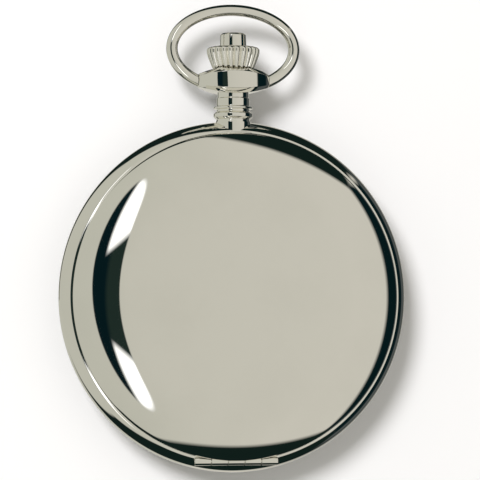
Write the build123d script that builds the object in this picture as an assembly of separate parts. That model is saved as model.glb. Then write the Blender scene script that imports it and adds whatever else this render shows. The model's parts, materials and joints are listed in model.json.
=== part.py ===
from build123d import *
import os
from math import acos, atan2, cos, degrees, pi, radians, sin, sqrt

# Full hunter pocket watch, lying on its back. Millimetres.
# +Z points out of the dial, +Y to 12 o'clock (the pendant), +X to 3 o'clock.
# The origin is on the case axis, on the flat land of the back cover.

# ---- driving sizes: case ----
MOVEMENT_RADIUS = 20.3
BAND_WIDTH = 4.7          # movement to the widest point of the band
BAND_HEIGHT = 5.0
BAND_BULGE = 1.5          # how far the band swells past its two seams
BACK_DEPTH = 4.0
LID_DEPTH = 4.4
COVER_WALL = 0.6
RIM_STEP = 0.3            # straight edge of a cover at its seam
SEAM_GAP = 0.05
RIM_INSET = 0.2           # cover edge inside the band's lip
SHOULDER_WIDTH = 7.6
DOME_ANGLE = 6.0
SHOULDER_ANGLE = 33.0
BACK_LAND_RADIUS = 8.0
BACK_DOME_ANGLE = 5.0

# ---- driving sizes: cover hinges ----
KNUCKLE_RADIUS = 0.6
KNUCKLE_LENGTH = 2.4
KNUCKLE_COUNT = 5
HINGE_PIN_RADIUS = 0.3
HINGE_FIT = 0.02          # radial, fixed knuckles
HINGE_RUN = 0.04          # radial, turning knuckles
HINGE_CLEAR = 0.12

# ---- driving sizes: pendant, bow and crown ----
NECK_RADIUS = 2.35
NECK_RING_RADIUS = 2.8
NECK_TUBE_RADIUS = 2.05
NECK_LENGTH = 8.4         # band to the neck's outer end
NECK_BORE = 1.25
COLLAR_HALF_WIDTH = 5.1
COLLAR_HEIGHT = 3.8
COLLAR_END_HEIGHT = 1.8
COLLAR_HALF_DEPTH = 3.45
COLLAR_START = 3.95       # band to the collar
BOW_WIRE = 0.82           # radius
BOW_HALF_WIDTH = 8.85
BOW_HALF_HEIGHT = 5.6
BOW_GAP = 0.05
BOW_PIN_RADIUS = 0.38
BOW_PIN_RUN = 0.04
BOW_PIN_DEPTH = 1.2
CROWN_TOP_RADIUS = 3.8
CROWN_FOOT_RADIUS = 2.75
CROWN_HEIGHT = 3.6
CROWN_CLEAR = 0.15
CROWN_FLUTES = 22
CROWN_FLUTE_RADIUS = 0.42
BUTTON_RADIUS = 1.9
BUTTON_STAND = 2.0
BUTTON_LENGTH = 3.6
BUTTON_RUN = 0.05
BUTTON_TRAVEL = 0.8
CROWN_PULL = 1.0
STEM_RADIUS = 0.6
STEM_RUN = 0.05
ROD_RADIUS = 0.28
ROD_RUN = 0.04

# ---- driving sizes: movement ----
PLATE_THICKNESS = 3.9
PLATE_TOP_RISE = 2.4      # dial face of the plate above the stem
DIAL_THICKNESS = 0.4
BRIDGE_THICKNESS = 1.3
GAP_DEPTH = 2.05
DIAL_RECESS = 1.4
CASE_FIT = 0.1            # radial, movement in the band
CENTRE_TEETH, THIRD_LEAVES, CENTRE_MODULE = 80, 10, 0.17
THIRD_TEETH, FOURTH_LEAVES, THIRD_MODULE = 75, 10, 0.145
FOURTH_TEETH, ESCAPE_LEAVES, FOURTH_MODULE = 80, 8, 0.12
BARREL_TEETH, CENTRE_LEAVES, BARREL_MODULE = 78, 12, 0.2
CANNON_LEAVES, MINUTE_TEETH, CANNON_MODULE = 12, 36, 0.155
MINUTE_LEAVES, HOUR_TEETH = 12, 48
SETTING_TEETH = 20
ESCAPE_TEETH = 15
ESCAPE_RADIUS = 2.35
WINDING_PITCH = 0.9
WINDING_LEAVES, CROWN_WHEEL_TEETH, RATCHET_TEETH = 14, 20, 43
FOURTH_DISTANCE = 9.0     # seconds axis below the centre
BARREL_ANGLE = 30.0
MINUTE_ANGLE = 75.0
ESCAPE_ANGLE = -35.0
LEVER_ANGLE = 40.0        # escape axis to balance axis
LEVER_REACH = 2.75
BALANCE_REACH = 3.8
BALANCE_RADIUS = 5.2
BALANCE_POCKET = 5.75
PIVOT_RADIUS = 0.14
PIVOT_RUN = 0.02
JEWEL_RADIUS = 0.55
ARBOR_RADIUS = 0.35
WHEEL_CLEAR = 0.3

# ---- levels ----
BAND_LOW = BACK_DEPTH
BAND_HIGH = BACK_DEPTH + BAND_HEIGHT
STEM_Z = BACK_DEPTH + BAND_HEIGHT / 2
PLATE_HIGH = STEM_Z + PLATE_TOP_RISE
PLATE_LOW = PLATE_HIGH - PLATE_THICKNESS
GAP_FLOOR = PLATE_LOW + GAP_DEPTH
RECESS_FLOOR = PLATE_HIGH - DIAL_RECESS
BRIDGE_LOW = PLATE_LOW - BRIDGE_THICKNESS
DIAL_HIGH = PLATE_HIGH + DIAL_THICKNESS
CENTRE_Z = PLATE_LOW + 0.15
BARREL_Z = PLATE_LOW + 0.55
FOURTH_Z = PLATE_LOW + 0.55
THIRD_Z = PLATE_LOW + 1.2
ESCAPE_Z = PLATE_LOW + 1.15
WHEEL_THICKNESS = 0.22
BALANCE_Z = PLATE_LOW - 0.8
BALANCE_HEIGHT = 0.55
COCK_LOW = BRIDGE_LOW - 1.3
COCK_THICKNESS = 0.9
MOTION_Z = RECESS_FLOOR + 0.2
SEAT_Z = PLATE_LOW + 0.6

# ---- radii and places that follow ----
BORE_RADIUS = MOVEMENT_RADIUS + CASE_FIT
CASE_RADIUS = MOVEMENT_RADIUS + BAND_WIDTH
SEAM_RADIUS = CASE_RADIUS - BAND_BULGE
COVER_RADIUS = SEAM_RADIUS - RIM_INSET
HINGE_Y = -COVER_RADIUS
COLLAR_Y = CASE_RADIUS + COLLAR_START + COLLAR_HEIGHT / 2
CROWN_Y = CASE_RADIUS + NECK_LENGTH - 1.3
BOW_PIVOT_Y = COLLAR_Y
CROWN_END = CROWN_Y + CROWN_HEIGHT
COLLAR_NOSE_Y = CASE_RADIUS - BAND_WIDTH + 2.9


def polar(distance, angle, start=(0.0, 0.0)):
    """The point at a distance and angle in degrees from a start."""
    x = start[0] + distance * cos(radians(angle))
    y = start[1] + distance * sin(radians(angle))
    return (x, y)


def between(a, b):
    """Distance and direction in degrees from a to b."""
    dx, dy = b[0] - a[0], b[1] - a[1]
    return sqrt(dx * dx + dy * dy), degrees(atan2(dy, dx))


def corner_of_two_circles(a, reach_a, b, reach_b, side):
    """The point at reach_a from a and reach_b from b, on the stated side of the line a to b."""
    gap, heading = between(a, b)
    turn = degrees(acos((reach_a**2 + gap**2 - reach_b**2) / (2 * reach_a * gap)))
    return polar(reach_a, heading + side * turn, a)


def centre_distance(teeth, leaves, module):
    return module * (teeth + leaves) / 2


WINDING_MODULE = WINDING_PITCH / pi
MOTION_DISTANCE = centre_distance(CANNON_LEAVES, MINUTE_TEETH, CANNON_MODULE)
HOUR_MODULE = 2 * MOTION_DISTANCE / (MINUTE_LEAVES + HOUR_TEETH)
CENTRE = (0.0, 0.0)
FOURTH = (0.0, -FOURTH_DISTANCE)
THIRD = corner_of_two_circles(
    CENTRE,
    centre_distance(CENTRE_TEETH, THIRD_LEAVES, CENTRE_MODULE),
    FOURTH,
    centre_distance(THIRD_TEETH, FOURTH_LEAVES, THIRD_MODULE),
    -1,
)
ESCAPE = polar(centre_distance(FOURTH_TEETH, ESCAPE_LEAVES, FOURTH_MODULE), ESCAPE_ANGLE, FOURTH)
PALLET = polar(LEVER_REACH, LEVER_ANGLE, ESCAPE)
BALANCE = polar(LEVER_REACH + BALANCE_REACH, LEVER_ANGLE, ESCAPE)
BARREL = polar(centre_distance(BARREL_TEETH, CENTRE_LEAVES, BARREL_MODULE), BARREL_ANGLE)
MINUTE = polar(MOTION_DISTANCE, MINUTE_ANGLE)
SETTING_DISTANCE = centre_distance(SETTING_TEETH, MINUTE_TEETH, CANNON_MODULE)
SETTING = (0.0, MINUTE[1] + sqrt(SETTING_DISTANCE**2 - MINUTE[0] ** 2))
WINDING_DISTANCE = centre_distance(CROWN_WHEEL_TEETH, RATCHET_TEETH, WINDING_MODULE)
CROWN_WHEEL = (0.0, BARREL[1] + sqrt(WINDING_DISTANCE**2 - BARREL[0] ** 2))
CROWN_WHEEL_RADIUS = WINDING_MODULE * CROWN_WHEEL_TEETH / 2
RATCHET_RADIUS = WINDING_MODULE * RATCHET_TEETH / 2
WINDING_RADIUS = WINDING_MODULE * WINDING_LEAVES / 2
WINDING_LENGTH = 1.2
WINDING_Y = CROWN_WHEEL[1] + CROWN_WHEEL_RADIUS - 1.2 * WINDING_MODULE + 0.08 + WINDING_LENGTH / 2
BARREL_TIP = BARREL_MODULE * (BARREL_TEETH / 2 + 1)
CROWN_WHEEL_Z = STEM_Z - WINDING_RADIUS - WINDING_MODULE
WINDING_WHEEL_THICKNESS = 0.5
SLIDING_RADIUS = 1.2
SLIDING_LENGTH = 1.6
SLIDING_START = WINDING_Y - WINDING_LENGTH / 2 - 0.15 - SLIDING_LENGTH
COCK_FOOT = polar(7.3, 25.5, BALANCE)
PALLET_FOOT = polar(4.7, -34.0, PALLET)
CLICK = polar(RATCHET_RADIUS + 1.75, 72.0, BARREL)


def disc(radius, low, high, at=CENTRE):
    """A solid cylinder standing along Z."""
    size = Cylinder(radius, high - low, align=(Align.CENTER, Align.CENTER, Align.MIN))
    return Pos(at[0], at[1], low) * size


def ring(outer, inner, low, high, at=CENTRE):
    return disc(outer, low, high, at) - disc(inner, low - 1, high + 1, at)


def rod_y(radius, start, end, x=0.0, z=STEM_Z):
    """A solid cylinder along Y."""
    size = Cylinder(radius, end - start, align=(Align.CENTER, Align.CENTER, Align.MIN))
    return Pos(x, start, z) * Rot(-90, 0, 0) * size


def rod_x(radius, start, end, y, z):
    """A solid cylinder along X."""
    size = Cylinder(radius, end - start, align=(Align.CENTER, Align.CENTER, Align.MIN))
    return Pos(start, y, z) * Rot(0, 90, 0) * size


def block(x0, x1, y0, y1, z0, z1):
    middle = Pos((x0 + x1) / 2, (y0 + y1) / 2, (z0 + z1) / 2)
    return middle * Box(x1 - x0, y1 - y0, z1 - z0)


def plate(points, low, high):
    """A flat plate with straight sides."""
    face = make_face(Polyline(*points, close=True))
    return Pos(0, 0, low) * extrude(face, high - low, dir=(0, 0, 1))


def bar(a, b, width, low, high, end_width=None):
    """A straight arm from a to b with round ends."""
    _, heading = between(a, b)
    half_a, half_b = width / 2, (end_width or width) / 2
    corners = [
        polar(half_a, heading + 90, a),
        polar(half_b, heading + 90, b),
        polar(half_b, heading - 90, b),
        polar(half_a, heading - 90, a),
    ]
    return plate(corners, low, high) + disc(half_a, low, high, a) + disc(half_b, low, high, b)


def spun(edges, axis=Axis.Z):
    """A body of revolution from a closed outline of (radius, height) in the XZ plane."""
    return revolve(make_face(edges), axis)


def spun_y(points):
    """A body of revolution about the stem axis from (radius, y) corners."""
    flat = make_face(Polyline(*[(r, y) for r, y in points], close=True))
    return Pos(0, 0, STEM_Z) * revolve(flat, Axis.Y)


def turned_arc(radius, centre, start, end):
    """An arc in the XZ plane between two angles measured from +Z towards +X."""
    angles = (start, (start + end) / 2, end)
    spots = [
        (centre[0] + radius * sin(radians(a)), 0, centre[1] + radius * cos(radians(a)))
        for a in angles
    ]
    return ThreePointArc(*spots), spots[0], spots[2]


def cover_line(rim, depth, land, dome_angle, inset=0.0):
    """The outline of a cover from its middle to its rim, heights counted up from the seam.

    A flat land, a shallow dome, a rounder shoulder and a tight edge join tangent to tangent.
    An inset gives the parallel line inside the metal.
    """
    dome_width = rim - SHOULDER_WIDTH - land
    dome = dome_width / sin(radians(dome_angle))
    fall = dome * (1 - cos(radians(dome_angle)))
    across, down = SHOULDER_WIDTH, depth - RIM_STEP - fall
    s1, c1 = sin(radians(dome_angle)), cos(radians(dome_angle))
    s2, c2 = sin(radians(SHOULDER_ANGLE)), cos(radians(SHOULDER_ANGLE))
    edge = (down * (s2 - s1) - across * (c1 - c2)) / (c2 * (s2 - s1) - (1 - s2) * (c1 - c2))
    shoulder = (across - edge * (1 - s2)) / (s2 - s1)
    dome_centre = (land, depth - dome)
    shoulder_centre = (land + (dome - shoulder) * s1, dome_centre[1] + (dome - shoulder) * c1)
    edge_centre = (
        shoulder_centre[0] + (shoulder - edge) * s2,
        shoulder_centre[1] + (shoulder - edge) * c2,
    )
    dome_arc, dome_start, _ = turned_arc(dome - inset, dome_centre, 0, dome_angle)
    shoulder_arc, _, _ = turned_arc(shoulder - inset, shoulder_centre, dome_angle, SHOULDER_ANGLE)
    edge_arc, _, edge_end = turned_arc(edge - inset, edge_centre, SHOULDER_ANGLE, 90)
    lines = [dome_arc, shoulder_arc, edge_arc, Line(edge_end, (rim - inset, 0, 0))]
    if land > 0:
        lines.insert(0, Line((0, 0, depth - inset), dome_start))
    return lines


def cover_solid(rim, depth, land, dome_angle, inset=0.0):
    lines = cover_line(rim, depth, land, dome_angle, inset)
    lines += [Line((rim - inset, 0, 0), (0, 0, 0)), Line((0, 0, 0), (0, 0, depth - inset))]
    return spun(lines)


def cover_shell(depth, land, dome_angle):
    """A pressed cover, open towards the seam at height 0."""
    outer = cover_solid(COVER_RADIUS, depth, land, dome_angle)
    return outer - cover_solid(COVER_RADIUS, depth, land, dome_angle, COVER_WALL)


def knuckle_spans(moving):
    """The spans along X of the fixed or the turning knuckles."""
    start = -KNUCKLE_COUNT * KNUCKLE_LENGTH / 2
    first = 1 if moving else 0
    numbers = range(first, KNUCKLE_COUNT, 2)
    return [(start + n * KNUCKLE_LENGTH, start + (n + 1) * KNUCKLE_LENGTH) for n in numbers]


def with_knuckles(body, z, moving):
    """Cuts room for the other leaf's knuckles, then adds this leaf's own."""
    for x0, x1 in knuckle_spans(not moving):
        body -= rod_x(KNUCKLE_RADIUS + HINGE_CLEAR, x0 - SEAM_GAP, x1 + SEAM_GAP, HINGE_Y, z)
    for x0, x1 in knuckle_spans(moving):
        body += rod_x(KNUCKLE_RADIUS, x0 + SEAM_GAP, x1 - SEAM_GAP, HINGE_Y, z)
    bore = HINGE_PIN_RADIUS + (HINGE_RUN if moving else HINGE_FIT)
    half = KNUCKLE_COUNT * KNUCKLE_LENGTH / 2
    return body - rod_x(bore, -half - 1, half + 1, HINGE_Y, z)


def hinge_pin(z):
    half = KNUCKLE_COUNT * KNUCKLE_LENGTH / 2
    return rod_x(HINGE_PIN_RADIUS, -half, half, HINGE_Y, z)


def tooth_outline(teeth, module, phase):
    """Corners of a toothed disc with narrow, slightly tapered teeth."""
    pitch = 360 / teeth
    radius = module * teeth / 2
    profile = [(-1.2, -0.27), (0.0, -0.20), (0.95, -0.10), (0.95, 0.10), (0.0, 0.20), (-1.2, 0.27)]
    points = []
    for n in range(teeth):
        for rise, share in profile:
            points.append(polar(radius + rise * module, phase + (n + share) * pitch))
    return points


def gear(teeth, module, low, high, at, phase=0.0):
    return Pos(at[0], at[1], 0) * plate(tooth_outline(teeth, module, phase), low, high)


def meshed(phase, teeth, heading, other_teeth):
    """The other gear's phase that puts a gap where this gear has a tooth."""
    place = (heading - phase) / (360 / teeth)
    other = 360 / other_teeth
    return heading + 180 - other * (0.5 - place)


def spokes_cut(outer, inner, arms, width, low, high, at, phase=0.0):
    """The windows between a wheel's spokes."""
    windows = ring(outer, inner, low - 1, high + 1, at)
    for n in range(arms):
        tip = polar(outer + 1, phase + n * 360 / arms, at)
        windows -= bar(at, tip, width, low - 2, high + 2)
    return windows


def spoked_gear(teeth, module, low, high, at, phase=0.0, arms=5):
    wheel = gear(teeth, module, low, high, at, phase)
    rim = module * teeth / 2 - 4.2 * module
    return wheel - spokes_cut(rim, 1.3, arms, 0.55, low, high, at, 90)


def arbor(at, low, high, body_low, body_high):
    """A staff with a fine pivot at each end."""
    return disc(ARBOR_RADIUS, body_low, body_high, at) + disc(PIVOT_RADIUS, low, high, at)


SCREW_HEAD = 0.5
SCREW_SINK = 0.05         # head below the surface it is let into
SCREW_SHANK = 0.43
SCREW_HOLE = 0.45
SLOT_HALF = 0.1
SLOT_DEPTH = 0.2


def slotted_screw(at, head_low, head_radius, shank_high, shank_radius=SCREW_SHANK, head=SCREW_HEAD):
    """A screw with its slotted head facing the back of the watch."""
    body = disc(head_radius, head_low, head_low + head, at)
    body += disc(shank_radius, head_low + head, shank_high, at)
    reach = head_radius + 1
    x, y = at
    return body - block(
        x - reach, x + reach, y - SLOT_HALF, y + SLOT_HALF, head_low - 1, head_low + SLOT_DEPTH
    )


def screw_seat(at, surface, head_radius, deep, head=SCREW_HEAD + SCREW_SINK):
    """The counterbore and hole for a slotted screw, from the surface its head is let into."""
    return disc(head_radius + SCREW_SINK, surface - 1, surface + head, at) + disc(
        SCREW_HOLE, surface - 1, deep, at
    )


# ---------------------------------------------------------------- case
SPRING_SLOT_LOW = BAND_LOW + 0.9
SPRING_SLOT_HIGH = SPRING_SLOT_LOW + 1.2
SPRING_SLOT_RADIUS = SEAM_RADIUS - 0.75
SPRING_THICKNESS = 0.35
CATCH_SCREW = polar(BORE_RADIUS + 0.95, 35)
LIFT_SCREW = polar(BORE_RADIUS + 0.95, 222)
FLANGE_RADIUS = BORE_RADIUS + 0.5
FLANGE_Z = PLATE_HIGH - 0.45
BEZEL_HEIGHT = 1.3
CRYSTAL_RISE = 1.05
CRYSTAL_THICKNESS = 0.7


def band_side():
    """The bulged side of the band, from its lower seam to its upper one."""
    return ThreePointArc(
        (SEAM_RADIUS, 0, BAND_LOW), (CASE_RADIUS, 0, STEM_Z), (SEAM_RADIUS, 0, BAND_HIGH)
    )


def case_middle():
    inner = [
        (SEAM_RADIUS, 0, BAND_HIGH),
        (BORE_RADIUS, 0, BAND_HIGH),
        (BORE_RADIUS, 0, BAND_LOW),
        (SEAM_RADIUS, 0, BAND_LOW),
    ]
    body = spun([band_side(), Polyline(*inner)])
    body -= ring(SPRING_SLOT_RADIUS, BORE_RADIUS - 1, SPRING_SLOT_LOW, SPRING_SLOT_HIGH)
    body -= disc(FLANGE_RADIUS + CASE_FIT, FLANGE_Z, BAND_HIGH + 1)
    body = with_knuckles(body, BAND_HIGH, False)
    body = with_knuckles(body, BAND_LOW, False)
    body -= rod_y(NECK_TUBE_RADIUS, BORE_RADIUS - 2, CASE_RADIUS + 2)
    for at in (CATCH_SCREW, LIFT_SCREW):
        body -= disc(0.75, BAND_LOW - 1, BAND_LOW + 0.5, at) + disc(0.42, BAND_LOW - 1, BAND_LOW + 4.0, at)
    return body


def front_cover():
    shell = Pos(0, 0, BAND_HIGH + SEAM_GAP) * cover_shell(LID_DEPTH - SEAM_GAP, 0.0, DOME_ANGLE)
    lip = bar((-2.2, COVER_RADIUS - 0.35), (2.2, COVER_RADIUS - 0.35), 0.9, BAND_HIGH + SEAM_GAP,
              BAND_HIGH + SEAM_GAP + RIM_STEP + 0.25)
    return with_knuckles(shell + lip, BAND_HIGH, True)


def back_cover():
    shell = cover_shell(BACK_DEPTH - SEAM_GAP, BACK_LAND_RADIUS, BACK_DOME_ANGLE)
    shell = Pos(0, 0, BAND_LOW - SEAM_GAP) * Rot(180, 0, 0) * shell
    return with_knuckles(shell, BAND_LOW, True)


def bezel():
    """The ring that holds the crystal, standing on the plate's flange under the lid."""
    low = DIAL_HIGH + SEAM_GAP
    points = [
        (FLANGE_RADIUS, 0, low),
        (FLANGE_RADIUS, 0, low + BEZEL_HEIGHT * 0.35),
        (BORE_RADIUS - 0.5, 0, low + BEZEL_HEIGHT),
        (BORE_RADIUS - 1.9, 0, low + BEZEL_HEIGHT),
        (BORE_RADIUS - 1.9, 0, low + 0.7 * BEZEL_HEIGHT),
        (BORE_RADIUS - 1.2, 0, low + 0.7 * BEZEL_HEIGHT),
        (BORE_RADIUS - 1.2, 0, low + 0.3 * BEZEL_HEIGHT),
        (BORE_RADIUS - 1.6, 0, low),
    ]
    return spun([Polyline(*points, close=True)])


def cap_arc(width, edge_z, top_z):
    """An arc from a rim point up to the axis, centred on the axis."""
    rise = top_z - edge_z
    radius = (width**2 + rise**2) / (2 * rise)
    middle = width / 2
    middle_z = top_z - radius + sqrt(radius**2 - middle**2)
    return ThreePointArc((width, 0, edge_z), (middle, 0, middle_z), (0, 0, top_z))


def crystal():
    """A domed glass with an upright edge that sits in the bezel's groove."""
    low = DIAL_HIGH + SEAM_GAP + 0.3 * BEZEL_HEIGHT
    edge = BORE_RADIUS - 1.2
    seat_high = low + 0.4 * BEZEL_HEIGHT
    mouth = BORE_RADIUS - 2.0
    wall_high = seat_high + 0.3
    top = wall_high + CRYSTAL_RISE
    under = top - CRYSTAL_THICKNESS
    inside = mouth - 0.8
    inside_high = wall_high - 0.15
    outer_arc = cap_arc(mouth, wall_high, top)
    inner_arc = cap_arc(inside, inside_high, under)
    middle = Line((0, 0, top), (0, 0, under))
    foot = Polyline(
        (inside, 0, inside_high), (inside, 0, low), (edge, 0, low), (edge, 0, seat_high),
        (mouth, 0, seat_high), (mouth, 0, wall_high),
    )
    return spun([outer_arc, middle, inner_arc, foot])


def catch_spring():
    """The lock spring: a strip round the band whose free end the push rod bends at 12 o'clock."""
    outer = SPRING_SLOT_RADIUS - 0.35
    low, high = SPRING_SLOT_LOW + 0.1, SPRING_SLOT_HIGH - 0.1
    strip = ring(outer, outer - SPRING_THICKNESS, low, high)
    keep = plate([CENTRE, polar(60, 34), polar(60, 60), polar(60, 86)], low - 1, high + 1)
    strip = strip & keep
    foot = disc(0.75, low, high, CATCH_SCREW) - disc(0.4, low - 1, high + 1, CATCH_SCREW)
    return strip + foot


def lift_spring():
    """The fly spring: a strip round the band whose free end lifts the lid near the hinge."""
    outer = SPRING_SLOT_RADIUS - 0.35
    low, high = SPRING_SLOT_LOW + 0.1, SPRING_SLOT_HIGH - 0.1
    strip = ring(outer, outer - SPRING_THICKNESS, low, high)
    keep = plate([CENTRE, polar(60, 221), polar(60, 240), polar(60, 259)], low - 1, high + 1)
    foot = disc(0.75, low, high, LIFT_SCREW) - disc(0.4, low - 1, high + 1, LIFT_SCREW)
    return (strip & keep) + foot


def band_envelope():
    """The band as if it were solid, which trims what is soldered to its outside."""
    core = Polyline(
        (SEAM_RADIUS, 0, BAND_HIGH), (0, 0, BAND_HIGH), (0, 0, BAND_LOW), (SEAM_RADIUS, 0, BAND_LOW)
    )
    return spun([band_side(), core])


def pendant_neck():
    """The neck soldered into the band, with its two rings."""
    start = CASE_RADIUS
    neck = spun_y([
        (0, SEAM_RADIUS),
        (NECK_RADIUS + 0.15, SEAM_RADIUS),
        (NECK_RADIUS + 0.15, start - 0.1),
        (NECK_RADIUS, start + 0.3),
        (NECK_RING_RADIUS - 0.25, start + 0.45),
        (NECK_RING_RADIUS, start + 0.7),
        (NECK_RING_RADIUS, start + 1.1),
        (NECK_RING_RADIUS - 0.25, start + 1.35),
        (NECK_RADIUS, start + 1.4),
        (NECK_RADIUS, start + 1.75),
        (NECK_RING_RADIUS, start + 1.8),
        (NECK_RING_RADIUS, start + 2.1),
        (NECK_RADIUS, start + 2.15),
        (NECK_RADIUS, start + 3.3),
        (NECK_RADIUS - 0.12, start + 3.4),
        (NECK_RADIUS - 0.12, CROWN_Y - 0.25),
        (0, CROWN_Y - 0.25),
    ])
    neck -= band_envelope()
    neck += rod_y(NECK_TUBE_RADIUS, BORE_RADIUS + 2.0, start + 0.5)
    return neck - rod_y(NECK_BORE, BORE_RADIUS, CROWN_Y + 1)


def collar_lens(half_width, height, half_depth):
    """A pointed-oval bar round the neck, its ends cut square to meet the bow."""
    rise = height / 2
    end = COLLAR_END_HEIGHT / 2 * height / COLLAR_HEIGHT
    upper = ThreePointArc((-half_width, end), (0, rise), (half_width, end))
    lower = ThreePointArc((half_width, -end), (0, -rise), (-half_width, -end))
    sides = [Line((half_width, end), (half_width, -end)), Line((-half_width, -end), (-half_width, end))]
    face = make_face([upper, sides[0], lower, sides[1]])
    return Pos(0, COLLAR_Y, STEM_Z - half_depth) * extrude(face, 2 * half_depth, dir=(0, 0, 1))


def bow_collar():
    lens = collar_lens(COLLAR_HALF_WIDTH, COLLAR_HEIGHT, COLLAR_HALF_DEPTH)
    ends = Pos(0, 0, STEM_Z) * Rot(90, 0, 0) * collar_taper()
    lens = lens & ends
    lens -= rod_y(NECK_RADIUS - 0.12, COLLAR_Y - 5, COLLAR_Y + 5)
    lens -= rod_y(CROWN_FOOT_RADIUS + 0.3 + CROWN_CLEAR, CROWN_Y - CROWN_CLEAR, COLLAR_Y + 5)
    for side in (-1, 1):
        x0, x1 = sorted((side * (COLLAR_HALF_WIDTH - BOW_PIN_DEPTH), side * (COLLAR_HALF_WIDTH + 1)))
        lens -= rod_x(BOW_PIN_RADIUS, x0, x1, BOW_PIVOT_Y, STEM_Z)
    return lens


def collar_taper():
    """The collar's outline seen from above the crown: full at the neck, narrow at its ends."""
    half, depth, end = COLLAR_HALF_WIDTH, COLLAR_HALF_DEPTH, COLLAR_END_HEIGHT / 2
    front = ThreePointArc((-half, end), (0, depth), (half, end))
    back = ThreePointArc((half, -end), (0, -depth), (-half, -end))
    sides = [Line((half, end), (half, -end)), Line((-half, -end), (-half, end))]
    face = make_face([front, sides[0], back, sides[1]])
    return Pos(0, 0, -COLLAR_Y - 5) * extrude(face, 10, dir=(0, 0, 1))


def bow_pivots():
    pins = []
    for side in (-1, 1):
        x0, x1 = sorted((
            side * (COLLAR_HALF_WIDTH - BOW_PIN_DEPTH),
            side * (COLLAR_HALF_WIDTH + BOW_PIN_DEPTH),
        ))
        pins.append(rod_x(BOW_PIN_RADIUS, x0, x1, BOW_PIVOT_Y, STEM_Z))
    return pins


def bow():
    """A round wire bent to an oval, its ends facing the collar."""
    reach = COLLAR_HALF_WIDTH + BOW_GAP
    drop = BOW_HALF_HEIGHT * sqrt(1 - (reach / BOW_HALF_WIDTH) ** 2)
    middle = BOW_PIVOT_Y + drop
    oval = Pos(0, middle, STEM_Z) * Ellipse(BOW_HALF_WIDTH, BOW_HALF_HEIGHT).edge()
    section = Pos(BOW_HALF_WIDTH, middle, STEM_Z) * Rot(90, 0, 0) * Circle(BOW_WIRE)
    wire = sweep(section, path=oval)
    wire -= block(-reach, reach, middle - 2 * BOW_HALF_HEIGHT, middle, STEM_Z - 3, STEM_Z + 3)
    for side in (-1, 1):
        x0, x1 = sorted((side * (reach - 0.5), side * (COLLAR_HALF_WIDTH + BOW_PIN_DEPTH + 0.1)))
        wire -= rod_x(BOW_PIN_RADIUS + BOW_PIN_RUN, x0, x1, BOW_PIVOT_Y, STEM_Z)
    return wire


# ---------------------------------------------------------------- crown and push-piece
def crown():
    """A fluted cup that widens outwards, with a well for the push-button."""
    cup = spun_y([
        (0, CROWN_Y),
        (CROWN_FOOT_RADIUS, CROWN_Y),
        (CROWN_FOOT_RADIUS + 0.25, CROWN_Y + 0.5),
        (CROWN_TOP_RADIUS - 0.12, CROWN_Y + 0.62 * CROWN_HEIGHT),
        (CROWN_TOP_RADIUS, CROWN_Y + 0.78 * CROWN_HEIGHT),
        (CROWN_TOP_RADIUS - 0.2, CROWN_Y + 0.93 * CROWN_HEIGHT),
        (CROWN_TOP_RADIUS - 0.7, CROWN_END),
        (0, CROWN_END),
    ])
    lean = degrees(atan2(CROWN_TOP_RADIUS - CROWN_FOOT_RADIUS, 0.7 * CROWN_HEIGHT))
    groove = Pos(0, 0, -CROWN_HEIGHT) * Cylinder(
        CROWN_FLUTE_RADIUS, 3 * CROWN_HEIGHT, align=(Align.CENTER, Align.CENTER, Align.MIN)
    )
    for n in range(CROWN_FLUTES):
        turn = Rot(0, n * 360 / CROWN_FLUTES, 0)
        place = Pos(CROWN_FOOT_RADIUS + 0.22, 0, 0) * Rot(0, 0, -lean) * Rot(-90, 0, 0)
        cup -= Pos(0, CROWN_Y + 0.3, STEM_Z) * turn * place * groove
    cup -= rod_y(BUTTON_RADIUS + BUTTON_RUN, CROWN_END - BUTTON_LENGTH + BUTTON_STAND - BUTTON_TRAVEL - 0.1,
                 CROWN_END + 1)
    cup -= rod_y(STEM_RADIUS, CROWN_Y - 1, CROWN_END)
    return cup


def push_button():
    low = CROWN_END + BUTTON_STAND - BUTTON_LENGTH
    high = CROWN_END + BUTTON_STAND
    return spun_y([
        (0, low),
        (BUTTON_RADIUS, low),
        (BUTTON_RADIUS, high - 0.9 * BUTTON_STAND),
        (BUTTON_RADIUS - 0.1, high - 0.25),
        (BUTTON_RADIUS - 0.3, high),
        (0, high),
    ])


PIN_SLOT_Y = COLLAR_NOSE_Y + 1.6
RELEASE_RADIUS = NECK_BORE - 0.1


def winding_stem():
    """The stem: a tube for the push rod at its outer end, a square at its inner end."""
    low = SLIDING_START - 1.7
    end = CROWN_END + BUTTON_STAND - BUTTON_LENGTH - BUTTON_TRAVEL - 0.1
    square_end = WINDING_Y - WINDING_LENGTH / 2
    stem = rod_y(STEM_RADIUS, square_end, end)
    stem += block(-0.38, 0.38, SLIDING_START - 0.9, square_end, STEM_Z - 0.38, STEM_Z + 0.38)
    stem += rod_y(0.34, low, SLIDING_START - 0.8)
    stem -= rod_y(ROD_RADIUS + ROD_RUN, PIN_SLOT_Y - 1.4, end + 1)
    groove_y = WINDING_Y + 1.6
    stem -= rod_y(STEM_RADIUS + 1, groove_y, groove_y + 0.6) - rod_y(0.38, groove_y - 1, groove_y + 2)
    slot_low = PIN_SLOT_Y - 0.3 - BUTTON_TRAVEL
    stem -= block(-2, 2, slot_low, PIN_SLOT_Y + 0.3, STEM_Z - 0.17, STEM_Z + 0.17)
    return stem


def push_rod():
    """The rod inside the stem with the cross pin that drives the release collar."""
    top = CROWN_END + BUTTON_STAND - BUTTON_LENGTH
    rod = rod_y(ROD_RADIUS, PIN_SLOT_Y - 0.4, top)
    return rod + rod_x(0.12, -RELEASE_RADIUS + 0.15, RELEASE_RADIUS - 0.15, PIN_SLOT_Y, STEM_Z)


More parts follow.
